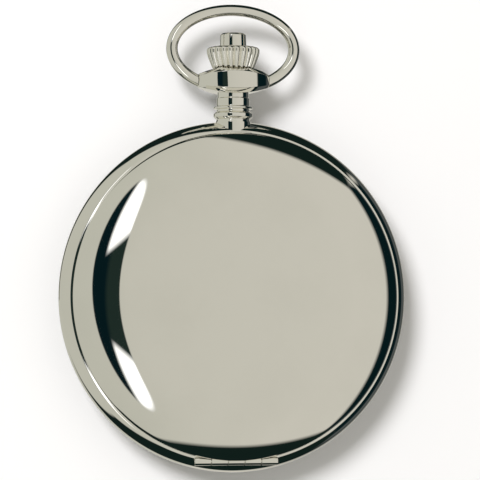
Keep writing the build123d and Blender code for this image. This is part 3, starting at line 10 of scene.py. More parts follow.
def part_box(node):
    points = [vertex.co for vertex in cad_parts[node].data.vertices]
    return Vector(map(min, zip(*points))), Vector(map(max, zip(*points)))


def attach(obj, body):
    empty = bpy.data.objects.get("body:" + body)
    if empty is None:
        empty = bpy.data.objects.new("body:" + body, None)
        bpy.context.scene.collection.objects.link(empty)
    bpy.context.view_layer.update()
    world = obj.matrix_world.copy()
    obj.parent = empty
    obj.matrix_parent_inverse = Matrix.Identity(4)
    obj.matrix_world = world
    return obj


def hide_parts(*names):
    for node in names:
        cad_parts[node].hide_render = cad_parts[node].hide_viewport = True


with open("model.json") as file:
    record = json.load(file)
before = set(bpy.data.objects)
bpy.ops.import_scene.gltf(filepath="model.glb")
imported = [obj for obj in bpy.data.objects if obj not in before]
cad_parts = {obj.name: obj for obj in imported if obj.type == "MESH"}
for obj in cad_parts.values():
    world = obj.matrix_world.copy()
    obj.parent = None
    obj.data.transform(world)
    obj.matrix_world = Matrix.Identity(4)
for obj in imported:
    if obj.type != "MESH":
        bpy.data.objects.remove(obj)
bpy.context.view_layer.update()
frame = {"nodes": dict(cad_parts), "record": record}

# A full hunter pocket watch lying closed on its back. Sizes below are millimetres;
# the frame's +Z points out of the dial and +Y to the pendant at 12 o'clock.
MM = 0.001


def node_box(name):
    """Lowest and highest corner of a CAD node in millimetres."""
    low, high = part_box(name)
    return np.array(low) / MM, np.array(high) / MM


# ---- sizes read from the frame ----
BAND_BOX = node_box("case_middle")
LID_BOX = node_box("front_cover")
BACK_BOX = node_box("back_cover")
PIN_BOX = node_box("front_hinge_pin")
BACK_PIN_BOX = node_box("back_hinge_pin")
NECK_BOX = node_box("pendant_neck")
COLLAR_BOX = node_box("bow_collar")
BOW_BOX = node_box("bow")
CROWN_BOX = node_box("crown")
BUTTON_BOX = node_box("push_button")
DIAL_BOX = node_box("dial")
BEZEL_BOX = node_box("bezel")
CASE_RADIUS = BAND_BOX[1][0]
COVER_RADIUS = LID_BOX[1][0]
LID_TOP = LID_BOX[1][2]
HINGE_Y = (PIN_BOX[0][1] + PIN_BOX[1][1]) / 2
HINGE_HALF = PIN_BOX[1][0]
BAND_HIGH = (PIN_BOX[0][2] + PIN_BOX[1][2]) / 2
BAND_LOW = (BACK_PIN_BOX[0][2] + BACK_PIN_BOX[1][2]) / 2
STEM_Z = (BAND_LOW + BAND_HIGH) / 2
PIN_RADIUS = (PIN_BOX[1][2] - PIN_BOX[0][2]) / 2
DIAL_HIGH = DIAL_BOX[1][2]
CROWN_LOW, CROWN_END = CROWN_BOX[0][1], CROWN_BOX[1][1]
CROWN_TOP_RADIUS = CROWN_BOX[1][0]

# ---- sizes of the case's own shapes ----
SEAM_RADIUS = CASE_RADIUS - 1.5
BORE_RADIUS = CASE_RADIUS - 4.6
SEAM_GAP = 0.05
RIM_STEP = 0.3
COVER_WALL = 0.6
SHOULDER_WIDTH = 7.6
SHOULDER_ANGLE = 33.0
LID_DOME_ANGLE = 6.0
BACK_DOME_ANGLE = 5.0
BACK_LAND = 8.0
EDGE_ROUND = 0.06
KNUCKLE_COUNT = 5
KNUCKLE_RADIUS = 0.6
KNUCKLE_CUT = 0.72        # radius cleared round the other leaf's knuckles
PIN_CLEAR = 0.03
LIP_HALF_LENGTH = 2.2     # thumb lip along the rim
LIP_REACH = 0.16
LIP_RISE = 0.28           # middle of the lip above the seam
LIP_HALF_HEIGHT = 0.24
TUBE_RADIUS = 2.05        # hole in the band for the neck's tube
SLOT_LOW, SLOT_HIGH = 0.9, 2.1   # springs' slot above the band's lower edge
SLOT_WALL = 0.75
SEAT_WIDTH, SEAT_DEPTH = 0.6, 0.55
CRYSTAL_THICKNESS = 0.7
NECK_RADIUS = 2.35
NECK_RING_RADIUS = 2.8
NECK_TUBE_RADIUS = 2.04
NECK_BORE = 1.25
COLLAR_END_HALF = 0.9
COLLAR_BORE = 2.25
CROWN_RECESS_RADIUS = 3.2
BEVEL_SHARE = 0.36        # collar's bevels as a share of its half-height
BOW_PIN_RADIUS = 0.38
BOW_PIN_DEPTH = 1.2
BOW_WIRE = 0.82
BOW_HALF_HEIGHT = 5.6
CROWN_FLUTES = 22
FLUTE_DEPTH = 0.42
STEM_HOLE = 0.61
WELL_RADIUS, WELL_DEPTH = 1.95, 2.5
PRINT_HEIGHT = 0.014      # dial tracks above the enamel
NUMERAL_HALF = 0.008      # half a numeral's thickness
SECONDS_SINK = 0.12
TURNS = 288               # columns of a body turned round the case axis


# ------------------------------------------------------------------ mesh tools
def sheet_mesh(name, grid, wrap_rows=False, wrap_columns=True):
    """A mesh over a grid of points (rows, columns, xyz in mm).

    Neighbouring points are joined by four-sided faces; a wrapped direction joins its last line
    back to its first. Points that fall together, as at a pole, are merged, faces without area are
    dropped, and the normals are turned outwards.
    """
    rows, columns = grid.shape[:2]
    numbers = np.arange(rows * columns).reshape(rows, columns)
    if wrap_rows:
        numbers = np.vstack([numbers, numbers[:1]])
    if wrap_columns:
        numbers = np.hstack([numbers, numbers[:, :1]])
    quads = np.stack(
        [numbers[:-1, :-1], numbers[1:, :-1], numbers[1:, 1:], numbers[:-1, 1:]], axis=-1
    ).reshape(-1, 4)
    mesh = bpy.data.meshes.new(name)
    mesh.from_pydata((grid.reshape(-1, 3) * MM).tolist(), [], quads.tolist())
    return welded(mesh)


def welded(mesh, reach=2e-7):
    """Merges points that fall together and turns every face outwards."""
    work = bmesh.new()
    work.from_mesh(mesh)
    bmesh.ops.remove_doubles(work, verts=work.verts, dist=reach)
    bmesh.ops.dissolve_degenerate(work, edges=work.edges, dist=reach / 4)
    bmesh.ops.recalc_face_normals(work, faces=work.faces)
    work.to_mesh(mesh)
    work.free()
    return mesh


def smooth(mesh, angle=32.0):
    """Shades round forms smooth and keeps real corners crisp."""
    mesh.polygons.foreach_set("use_smooth", np.ones(len(mesh.polygons), bool))
    mesh.set_sharp_from_angle(angle=radians(angle))
    mesh.update()
    return mesh


def piece(name, mesh, body, finish, replaced=(), angle=32.0):
    """Puts a mesh in the scene as a piece of the watch, riding on a body."""
    made = bpy.data.objects.new(name, smooth(mesh, angle))
    bpy.context.scene.collection.objects.link(made)
    made.data.materials.clear()
    made.data.materials.append(finish)
    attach(made, body)
    if replaced:
        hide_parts(*replaced)
    return made


def turned(name, profile, axis="Z", turns=TURNS, closed=False):
    """A profile of (radius, height) points carried round an axis: x = r cos t, y = r sin t.

    Along Y the height runs up the stem axis. A closed profile makes a ring; an open one starts
    and ends on the axis.
    """
    outline = np.asarray(profile, float)
    t = np.linspace(0, 2 * pi, turns, endpoint=False)
    radius, height = outline[:, :1], outline[:, 1:2]
    flat = radius * np.cos(t), radius * np.sin(t), height + 0 * t
    if axis == "Z":
        grid = np.stack([flat[0], flat[1], flat[2]], axis=-1)
    elif axis == "Y":
        grid = np.stack([flat[0], flat[2], STEM_Z - flat[1]], axis=-1)
    else:
        grid = np.stack([flat[2], flat[0], flat[1]], axis=-1)
    return sheet_mesh(name, grid, wrap_rows=closed)


def rounded(corners, radius=EDGE_ROUND, steps=4, closed=True):
    """The outline with each corner replaced by a small arc tangent to both its sides.

    A corner's arc starts radius * tan(half the turn) before it, no more than two fifths of the
    shorter side; the points between lie on a quadratic curve through both ends.
    """
    points = [np.asarray(p, float) for p in corners]
    out = []
    count = len(points)
    for n, point in enumerate(points):
        if not closed and n in (0, count - 1):
            out.append(point)
            continue
        before, after = points[n - 1] - point, points[(n + 1) % count] - point
        long_before, long_after = np.linalg.norm(before), np.linalg.norm(after)
        turn = acos(np.clip(np.dot(before, after) / (long_before * long_after), -1, 1))
        if turn > radians(172):
            out.append(point)
            continue
        reach = min(radius / tan(turn / 2), 0.4 * long_before, 0.4 * long_after)
        start = point + before / long_before * reach
        end = point + after / long_after * reach
        for share in np.linspace(0, 1, steps + 1):
            out.append((1 - share) ** 2 * start + 2 * share * (1 - share) * point + share**2 * end)
    return np.array(out)


def arc(centre, radius, start, end, steps):
    """Points on a circle between two angles measured from straight up towards the rim."""
    a = np.radians(np.linspace(start, end, steps))
    return np.stack([centre[0] + radius * np.sin(a), centre[1] + radius * np.cos(a)], axis=1)


def cover_line(depth, land, dome_angle, inset=0.0):
    """A cover's outline from its middle to its rim, heights counted up from the seam.

    Three arcs join tangent to tangent: the dome, the shoulder and the tight edge, whose radii
    follow from the depth and the shoulder's width. An inset gives the parallel line inside.
    """
    rim = COVER_RADIUS
    dome = (rim - SHOULDER_WIDTH - land) / sin(radians(dome_angle))
    down = depth - RIM_STEP - dome * (1 - cos(radians(dome_angle)))
    s1, c1 = sin(radians(dome_angle)), cos(radians(dome_angle))
    s2, c2 = sin(radians(SHOULDER_ANGLE)), cos(radians(SHOULDER_ANGLE))
    across = SHOULDER_WIDTH
    edge = (down * (s2 - s1) - across * (c1 - c2)) / (c2 * (s2 - s1) - (1 - s2) * (c1 - c2))
    shoulder = (across - edge * (1 - s2)) / (s2 - s1)
    dome_at = (land, depth - dome)
    shoulder_at = (land + (dome - shoulder) * s1, dome_at[1] + (dome - shoulder) * c1)
    edge_at = (shoulder_at[0] + (shoulder - edge) * s2, shoulder_at[1] + (shoulder - edge) * c2)
    lines = [
        arc(dome_at, dome - inset, 0, dome_angle, 26),
        arc(shoulder_at, shoulder - inset, dome_angle, SHOULDER_ANGLE, 26)[1:],
        arc(edge_at, edge - inset, SHOULDER_ANGLE, 90, 12)[1:],
    ]
    if land > 0:
        lines.insert(0, np.array([[0, depth - inset], [land / 2, depth - inset]]))
    return np.vstack(lines)


def cover_shell(name, depth, land, dome_angle, seam, turn_down=False):
    """A pressed cover: its outer line, a rounded rim, and its inner line back to the axis."""
    outer = cover_line(depth, land, dome_angle)
    inner = cover_line(depth, land, dome_angle, COVER_WALL)
    rim = rounded(
        [outer[-1], (COVER_RADIUS, 0), (COVER_RADIUS - COVER_WALL, 0), inner[-1]], closed=False
    )
    profile = np.vstack([outer, rim[1:-1], inner[::-1]])
    profile[:, 1] = seam - profile[:, 1] if turn_down else seam + profile[:, 1]
    return turned(name, profile)


def rod_mesh(name, radius, start, end, sides=40, bevel=0.05):
    """A round rod along X with small rounded ends."""
    corners = [(0, start), (radius, start), (radius, end), (0, end)]
    return turned(name, rounded(corners, bevel, 3, closed=False), axis="X", turns=sides)


def plug(name, radius, start, end, sides):
    """A plain cylinder along the stem axis, for cutting."""
    corners = [(0, start), (radius, start), (radius, end), (0, end)]
    return turned(name, corners, axis="Y", turns=sides)


def moved(mesh, x=0.0, y=0.0, z=0.0):
    """The mesh shifted by millimetres."""
    spots = np.empty(len(mesh.vertices) * 3, np.float32)
    mesh.vertices.foreach_get("co", spots)
    spots = spots.reshape(-1, 3) + np.array([x, y, z], np.float32) * MM
    mesh.vertices.foreach_set("co", spots.ravel())
    mesh.update()
    return mesh


def combined(name, base, others, operation):
    """The base mesh after an exact Boolean with each of the others."""
    holder = bpy.data.objects.new(name, base)
    bpy.context.scene.collection.objects.link(holder)
    tools = []
    for n, mesh in enumerate(others):
        tool = bpy.data.objects.new(f"{name}_tool_{n}", mesh)
        bpy.context.scene.collection.objects.link(tool)
        step = holder.modifiers.new(f"step_{n}", "BOOLEAN")
        step.operation, step.object, step.solver = operation, tool, "EXACT"
        tools.append(tool)
    graph = bpy.context.evaluated_depsgraph_get()
    made = bpy.data.meshes.new_from_object(holder.evaluated_get(graph))
    made.name = name
    for extra in [holder] + tools:
        bpy.data.objects.remove(extra)
    return made


def joined(name, meshes):
    """Several closed meshes gathered into one."""
    work = bmesh.new()
    for mesh in meshes:
        work.from_mesh(mesh)
    made = bpy.data.meshes.new(name)
    work.to_mesh(made)
    work.free()
    return made


# ------------------------------------------------------------------ materials
def socket_group(name, inputs, outputs):
    """An empty shader group with named inputs (name, kind, value) and outputs (name, kind)."""
    group = bpy.data.node_groups.new(name, "ShaderNodeTree")
    for label, kind, value in inputs:
        made = group.interface.new_socket(label, in_out="INPUT", socket_type=kind)
        if value is not None:
            made.default_value = value
    for label, kind in outputs:
        group.interface.new_socket(label, in_out="OUTPUT", socket_type=kind)
    return group, group.nodes.new("NodeGroupInput"), group.nodes.new("NodeGroupOutput")


def noise_node(tree, vector, scale, detail=3.0, roughness=0.55):
    """Noise over a vector, from nought to one."""
    made = tree.nodes.new("ShaderNodeTexNoise")
    made.inputs["Scale"].default_value = scale
    made.inputs["Detail"].default_value = detail
    made.inputs["Roughness"].default_value = roughness
    tree.links.new(vector, made.inputs["Vector"])
    return made.outputs["Fac"]


def spread(tree, value, low, high, to_low, to_high):
    """A value carried from one range to another, held at both ends."""
    made = tree.nodes.new("ShaderNodeMapRange")
    limits = (("From Min", low), ("From Max", high), ("To Min", to_low), ("To Max", to_high))
    for label, number in limits:
        made.inputs[label].default_value = number
    tree.links.new(value, made.inputs["Value"])
    return made.outputs["Result"]


def stretched(tree, vector, scale, turn=(0, 0, 0)):
    """A vector scaled along its axes and turned."""
    made = tree.nodes.new("ShaderNodeMapping")
    made.inputs["Scale"].default_value = scale
    made.inputs["Rotation"].default_value = turn
    tree.links.new(vector, made.inputs["Vector"])
    return made.outputs["Vector"]


def maths(tree, operation, *values):
    """A Math node fed by numbers or sockets."""
    made = tree.nodes.new("ShaderNodeMath")
    made.operation = operation
    for n, value in enumerate(values):
        if isinstance(value, (int, float)):
            made.inputs[n].default_value = value
        else:
            tree.links.new(value, made.inputs[n])
    return made.outputs["Value"]


def blend(tree, share, a, b):
    """Two colours mixed by a share."""
    made = tree.nodes.new("ShaderNodeMix")
    made.data_type = "RGBA"
    tree.links.new(share, made.inputs["Factor"])
    for label, value in (("A", a), ("B", b)):
        spot = [s for s in made.inputs if s.name == label and s.type == "RGBA"][0]
        if hasattr(value, "is_linked"):
            tree.links.new(value, spot)
        else:
            spot.default_value = value
    return [s for s in made.outputs if s.type == "RGBA"][0]


def build_wear():
    """Handling wear: a broad bloom and hairline scratches in two directions."""
    group, given, out = socket_group(
        "handling_wear",
        [
            ("Vector", "NodeSocketVector", None),
            ("Gloss", "NodeSocketFloat", 0.05),
            ("Bloom", "NodeSocketFloat", 0.03),
            ("Hairlines", "NodeSocketFloat", 0.03),
        ],
        [("Roughness", "NodeSocketFloat"), ("Mask", "NodeSocketFloat"), ("Height", "NodeSocketFloat")],
    )
    where = given.outputs["Vector"]
    bloom = spread(group, noise_node(group, where, 95.0, 4.0), 0.42, 0.72, 0.0, 1.0)
    one = noise_node(group, stretched(group, where, (9000, 260, 900), (0, 0, 0.5)), 1.0, 2.0)
    two = noise_node(group, stretched(group, where, (240, 7800, 900), (0, 0, 0.9)), 1.0, 2.0)
    one = spread(group, one, 0.70, 0.78, 0, 1)
    two = spread(group, two, 0.71, 0.79, 0, 1)
    lines = maths(group, "MAXIMUM", one, two)
    soft = maths(group, "MULTIPLY", bloom, given.outputs["Bloom"])
    fine = maths(group, "MULTIPLY", lines, given.outputs["Hairlines"])
    rough = maths(group, "ADD", given.outputs["Gloss"], maths(group, "ADD", soft, fine))
    group.links.new(rough, out.inputs["Roughness"])
    group.links.new(bloom, out.inputs["Mask"])
    group.links.new(lines, out.inputs["Height"])
    return group


def build_grain():
    """A fine frosted grain with slow shade changes, for gilt and grained parts."""
    group, given, out = socket_group(
        "fine_grain",
        [("Vector", "NodeSocketVector", None), ("Size", "NodeSocketFloat", 9000.0)],
        [("Grain", "NodeSocketFloat"), ("Shade", "NodeSocketFloat")],
    )
    fine = group.nodes.new("ShaderNodeTexNoise")
    fine.inputs["Detail"].default_value = 2.0
    group.links.new(given.outputs["Vector"], fine.inputs["Vector"])
    group.links.new(given.outputs["Size"], fine.inputs["Scale"])
    group.links.new(fine.outputs["Fac"], out.inputs["Grain"])
    slow = spread(group, noise_node(group, given.outputs["Vector"], 420.0, 3.0), 0.35, 0.7, 0.0, 1.0)
    group.links.new(slow, out.inputs["Shade"])
    return group


def build_brush():
    """Straight brushing along one direction: noise stretched a hundredfold along it."""
    group, given, out = socket_group(
        "brushing",
        [("Vector", "NodeSocketVector", None)],
        [("Lines", "NodeSocketFloat")],
    )
    along = stretched(group, given.outputs["Vector"], (12000, 150, 6000))
    group.links.new(noise_node(group, along, 1.0, 3.0), out.inputs["Lines"])
    return group


WEAR, GRAIN, BRUSH = build_wear(), build_grain(), build_brush()


def start_material(name):
    """A new material with its Principled shader and Object coordinates."""
    made = bpy.data.materials.new(name)
    made.use_nodes = True
    tree = made.node_tree
    shader = tree.nodes.get("Principled BSDF")
    where = tree.nodes.new("ShaderNodeTexCoord").outputs["Object"]
    return made, tree, shader, where


def coloured(tree, shader, share, colour, shaded):
    """The base colour, drifting between two shades, each given as three numbers."""
    mixed = blend(tree, share, (*colour, 1), (*shaded, 1))
    tree.links.new(mixed, shader.inputs["Base Color"])


def glossed(tree, shader, value, low, high):
    """The roughness, following the middle of a noise."""
    tree.links.new(spread(tree, value, 0.3, 0.7, low, high), shader.inputs["Roughness"])


def placed(tree, group, where, **values):
    """A shader group used in a material, with some of its inputs set."""
    made = tree.nodes.new("ShaderNodeGroup")
    made.node_tree = group
    tree.links.new(where, made.inputs["Vector"])
    for label, value in values.items():
        made.inputs[label].default_value = value
    return made


def bump(tree, shader, height, strength, distance=0.00001):
    """Fine relief from a height, in metres."""
    made = tree.nodes.new("ShaderNodeBump")
    made.inputs["Strength"].default_value = strength
    made.inputs["Distance"].default_value = distance
    tree.links.new(height, made.inputs["Height"])
    tree.links.new(made.outputs["Normal"], shader.inputs["Normal"])


def polished(name, colour, shaded, gloss=0.03, bloom=0.02, hairlines=0.03, lines=0.02):
    """Polished metal: clean colour with a warmer bloom, hairlines and their faint relief."""
    made, tree, shader, where = start_material(name)
    wear = placed(tree, WEAR, where, Gloss=gloss, Bloom=bloom, Hairlines=hairlines)
    shader.inputs["Metallic"].default_value = 1.0
    coloured(tree, shader, wear.outputs["Mask"], colour, shaded)
    tree.links.new(wear.outputs["Roughness"], shader.inputs["Roughness"])
    bump(tree, shader, wear.outputs["Height"], lines, 0.000002)
    return made


def frosted(name, colour, shaded, rough=0.32, relief=0.25, size=9000.0):
    """Grained metal: a fine frosted relief under a colour that drifts a little."""
    made, tree, shader, where = start_material(name)
    grain = placed(tree, GRAIN, where, Size=size)
    shader.inputs["Metallic"].default_value = 1.0
    coloured(tree, shader, grain.outputs["Shade"], colour, shaded)
    glossed(tree, shader, grain.outputs["Grain"], rough - 0.06, rough + 0.08)
    bump(tree, shader, grain.outputs["Grain"], relief)
    return made


def brushed(name, colour, shaded, rough=0.22, relief=0.2):
    """Brushed metal: long fine lines in colour, gloss and relief."""
    made, tree, shader, where = start_material(name)
    lines = placed(tree, BRUSH, where).outputs["Lines"]
    shader.inputs["Metallic"].default_value = 1.0
    coloured(tree, shader, lines, colour, shaded)
    glossed(tree, shader, lines, rough - 0.06, rough + 0.08)
    bump(tree, shader, lines, relief)
    return made


def striped_nickel(name):
    """Nickel bridges with broad waved stripes: a sine across X sets colour, gloss and relief."""
    made, tree, shader, where = start_material(name)
    wave = tree.nodes.new("ShaderNodeTexWave")
    wave.wave_type, wave.bands_direction = "BANDS", "X"
    wave.inputs["Scale"].default_value = 160.0
    wave.inputs["Distortion"].default_value = 0.0
    tree.links.new(stretched(tree, where, (1, 1, 1), (0, 0, radians(38))), wave.inputs["Vector"])
    lines = placed(tree, BRUSH, where).outputs["Lines"]
    shader.inputs["Metallic"].default_value = 1.0
    band = wave.outputs["Fac"]
    coloured(tree, shader, band, (0.66, 0.65, 0.62), (0.80, 0.79, 0.75))
    tree.links.new(spread(tree, band, 0, 1, 0.20, 0.30), shader.inputs["Roughness"])
    bump(tree, shader, maths(tree, "ADD", maths(tree, "MULTIPLY", band, 2.0), lines), 0.35, 0.00003)
    return made


def enamel(name, colour, shaded):
    """Fired enamel: a glassy coat over white with a barely uneven surface."""
    made, tree, shader, where = start_material(name)
    grain = placed(tree, GRAIN, where, Size=1600.0)
    coloured(tree, shader, grain.outputs["Shade"], colour, shaded)
    shader.inputs["Coat Weight"].default_value = 0.5
    glossed(tree, shader, grain.outputs["Grain"], 0.18, 0.28)
    bump(tree, shader, grain.outputs["Grain"], 0.05)
    return made


def clear(name, tint, rough_low, rough_high, ior=1.5):
    """Glass or ruby: clear with a slightly smeared surface."""
    made, tree, shader, where = start_material(name)
    wear = placed(tree, WEAR, where, Gloss=rough_low, Bloom=rough_high - rough_low, Hairlines=0.02)
    shader.inputs["Base Color"].default_value = (*tint, 1)
    shader.inputs["Metallic"].default_value = 0.0
    shader.inputs["Transmission Weight"].default_value = 1.0
    shader.inputs["IOR"].default_value = ior
    tree.links.new(wear.outputs["Roughness"], shader.inputs["Roughness"])
    return made


def matt(name, colour, shaded, rough=0.55):
    """Rubber or paint with a soft uneven surface."""
    made, tree, shader, where = start_material(name)
    grain = placed(tree, GRAIN, where, Size=6000.0)
    coloured(tree, shader, grain.outputs["Shade"], colour, shaded)
    glossed(tree, shader, grain.outputs["Grain"], rough - 0.1, rough + 0.1)
    bump(tree, shader, grain.outputs["Grain"], 0.2)
    return made


SILVER = polished(
    "polished_silver", (0.93, 0.915, 0.86), (0.90, 0.885, 0.83),
    gloss=0.025, bloom=0.02, hairlines=0.02, lines=0.01,
)
SILVER_INNER = polished(
    "silver_inside", (0.90, 0.885, 0.84), (0.84, 0.82, 0.76),
    gloss=0.12, bloom=0.08, hairlines=0.05, lines=0.04,
)
STEEL = brushed("brushed_steel", (0.66, 0.67, 0.69), (0.56, 0.57, 0.60))
BLUED = polished(
    "blued_steel", (0.020, 0.055, 0.32), (0.035, 0.045, 0.24),
    gloss=0.16, bloom=0.08, hairlines=0.05, lines=0.03,
)
BRASS = frosted("gilt_brass", (0.86, 0.63, 0.27), (0.79, 0.56, 0.22))
NICKEL = striped_nickel("striped_nickel")
ENAMEL = enamel("white_enamel", (0.90, 0.89, 0.85), (0.86, 0.85, 0.80))
PAINT = matt("black_paint", (0.012, 0.012, 0.014), (0.022, 0.022, 0.024), 0.4)
GLASS = clear("watch_glass", (0.97, 0.985, 0.98), 0.0, 0.02)
RUBY = clear("ruby_jewel", (0.75, 0.03, 0.12), 0.02, 0.05, 1.77)
RUBBER = matt("gasket_rubber", (0.03, 0.03, 0.03), (0.05, 0.05, 0.05), 0.7)
FINISHES = {
    "silver": SILVER, "silver_inner": SILVER_INNER, "steel": STEEL, "blued_steel": BLUED,
    "brass": BRASS, "nickel_plate": NICKEL, "enamel": ENAMEL, "glass": GLASS, "ruby": RUBY,
    "rubber": RUBBER,
}
for entry in frame["record"]["subparts"]:
    holder = frame["nodes"][entry["node"]]
    holder.data.materials.clear()
    holder.data.materials.append(FINISHES[entry["material_slot"]])


# ------------------------------------------------------------------ the case
def knuckle_spans(moving):
    """The spans along X of the fixed or the turning knuckles."""
    long = 2 * HINGE_HALF / KNUCKLE_COUNT
    return [
        (-HINGE_HALF + n * long, -HINGE_HALF + (n + 1) * long)
        for n in range(1 if moving else 0, KNUCKLE_COUNT, 2)
    ]


def knuckle_cuts(z, moving):
    """Rods that clear a leaf for the other leaf's knuckles."""
    return [
        moved(rod_mesh("cut", KNUCKLE_CUT, x0 - SEAM_GAP, x1 + SEAM_GAP, 48, 0.01), 0, HINGE_Y, z)
        for x0, x1 in knuckle_spans(not moving)
    ]


def knuckle_rods(z, moving):
    """The leaf's own knuckles, each bored for the hinge pin."""
    rods = []
    for x0, x1 in knuckle_spans(moving):
        corners = [
            (KNUCKLE_RADIUS, x0 + SEAM_GAP), (KNUCKLE_RADIUS, x1 - SEAM_GAP),
            (PIN_RADIUS + PIN_CLEAR, x1 - SEAM_GAP), (PIN_RADIUS + PIN_CLEAR, x0 + SEAM_GAP),
        ]
        tube = turned("knuckle", rounded(corners, 0.05, 3), axis="X", turns=48, closed=True)
        rods.append(moved(tube, 0, HINGE_Y, z))
    return rods


def lid():
    """The front cover: pressed shell, thumb lip at 12 o'clock and two hinge knuckles."""
    seam = BAND_HIGH + SEAM_GAP
    shell = cover_shell("lid_shell", LID_TOP - seam, 0.0, LID_DOME_ANGLE, seam)
    cut = combined("lid_shell", shell, knuckle_cuts(BAND_HIGH, True), "DIFFERENCE")
    piece("lid_shell", cut, "lid", SILVER, ["front_cover"])
    knuckles = joined("lid_knuckles", knuckle_rods(BAND_HIGH, True))
    piece("lid_knuckles", knuckles, "lid", SILVER)
    # the thumb lip follows the rim: an arc of a small rounded bar
    t = np.linspace(-1, 1, 41)
    fade = np.sqrt(np.clip(1 - t**6, 0, 1))[:, None]
    heading = pi / 2 + t * LIP_HALF_LENGTH / COVER_RADIUS
    s = np.linspace(0, 2 * pi, 24, endpoint=False)
    outwards = np.sign(np.cos(s)) * np.abs(np.cos(s)) ** 0.6 * fade
    upwards = np.sign(np.sin(s)) * np.abs(np.sin(s)) ** 0.6 * fade
    out = COVER_RADIUS - 0.02 + LIP_REACH * outwards
    high = seam + LIP_RISE + LIP_HALF_HEIGHT * upwards
    grid = np.stack([out * np.cos(heading)[:, None], out * np.sin(heading)[:, None], high], axis=-1)
    piece("lid_lip", sheet_mesh("lid_lip", grid), "lid", SILVER)


def back():
    """The back cover: flat land, shallow dome and two hinge knuckles."""
    seam = BAND_LOW - SEAM_GAP
    depth = seam - BACK_BOX[0][2]
    shell = cover_shell("back_shell", depth, BACK_LAND, BACK_DOME_ANGLE, seam, turn_down=True)
    cut = combined("back_shell", shell, knuckle_cuts(BAND_LOW, True), "DIFFERENCE")
    piece("back_shell", cut, "back", SILVER, ["back_cover"])
    knuckles = joined("back_knuckles", knuckle_rods(BAND_LOW, True))
    piece("back_knuckles", knuckles, "back", SILVER)


def band():
    """The case middle: a bulged ring with the springs' slot, the bezel's seat and the knuckles.

    Its side is the arc through both seams and the widest point.
    """
    half = (BAND_HIGH - BAND_LOW) / 2
    bulge = CASE_RADIUS - SEAM_RADIUS
    radius = (half**2 + bulge**2) / (2 * bulge)
    reach = degrees(asin(half / radius))
    side = arc((CASE_RADIUS - radius, STEM_Z), radius, 90 + reach, 90 - reach, 33)
    seat = BAND_HIGH - SEAT_DEPTH
    slot_low, slot_high, slot_deep = BAND_LOW + SLOT_LOW, BAND_LOW + SLOT_HIGH, SEAM_RADIUS - SLOT_WALL
    corners = [
        (BORE_RADIUS + SEAT_WIDTH, BAND_HIGH), (BORE_RADIUS + SEAT_WIDTH, seat), (BORE_RADIUS, seat),
        (BORE_RADIUS, slot_high), (slot_deep, slot_high), (slot_deep, slot_low),
        (BORE_RADIUS, slot_low), (BORE_RADIUS, BAND_LOW),
    ]
    inner = rounded([side[-1]] + corners + [side[0]], closed=False)
    ring = turned("case_band", np.vstack([side, inner[1:-1]]), closed=True)
    tube = plug("tube_hole", TUBE_RADIUS, BORE_RADIUS - 2, CASE_RADIUS + 2, 64)
    cuts = [tube] + knuckle_cuts(BAND_HIGH, False) + knuckle_cuts(BAND_LOW, False)
    cut = combined("case_band", ring, cuts, "DIFFERENCE")
    piece("case_band", cut, "case", SILVER, ["case_middle"])
    rods = knuckle_rods(BAND_HIGH, False) + knuckle_rods(BAND_LOW, False)
    piece("band_knuckles", joined("band_knuckles", rods), "case", SILVER)
    for name, z in (("front_hinge_pin", BAND_HIGH), ("back_hinge_pin", BAND_LOW)):
        rod = moved(rod_mesh(name, PIN_RADIUS, -HINGE_HALF, HINGE_HALF), 0, HINGE_Y, z)
        piece("round_" + name, rod, "case", SILVER, [name])


def bezel_and_glass():
    """The snap bezel and the domed crystal in it."""
    low, high = BEZEL_BOX[0][2], BEZEL_BOX[1][2]
    tall = high - low
    wide = BEZEL_BOX[1][0]
    corners = [
        (wide, low), (wide, low + 0.35 * tall), (BORE_RADIUS - 0.5, high), (BORE_RADIUS - 1.9, high),
        (BORE_RADIUS - 1.9, low + 0.7 * tall), (BORE_RADIUS - 1.2, low + 0.7 * tall),
        (BORE_RADIUS - 1.2, low + 0.3 * tall), (BORE_RADIUS - 1.6, low),
    ]
    ring = turned("bezel_ring", rounded(corners, 2 * EDGE_ROUND, 5), closed=True)
    piece("bezel_ring", ring, "case", SILVER, ["bezel"])
    glass_low, glass_high = node_box("crystal")[0][2], node_box("crystal")[1][2]
    edge, mouth = BORE_RADIUS - 1.2, BORE_RADIUS - 2.0
    seat = glass_low + 0.4 * tall
    wall = seat + 0.3
    inside, inside_high = mouth - 0.8, wall - 0.15
    under = glass_high - CRYSTAL_THICKNESS

    def cap(width, edge_z, top_z):
        """The arc from the axis at its top to a width at its edge."""
        rise = top_z - edge_z
        radius = (width**2 + rise**2) / (2 * rise)
        return arc((0, top_z - radius), radius, 0, degrees(asin(width / radius)), 30)

    foot = rounded(
        [(mouth, wall), (mouth, seat), (edge, seat), (edge, glass_low), (inside, glass_low),
         (inside, inside_high)], EDGE_ROUND, 3, closed=False)
    profile = np.vstack([
        cap(mouth, wall, glass_high), foot[1:], cap(inside, inside_high, under)[::-1][1:],
    ])
    mesh = turned("crystal_glass", profile, turns=192)
    piece("crystal_glass", mesh, "case", GLASS, ["crystal"])


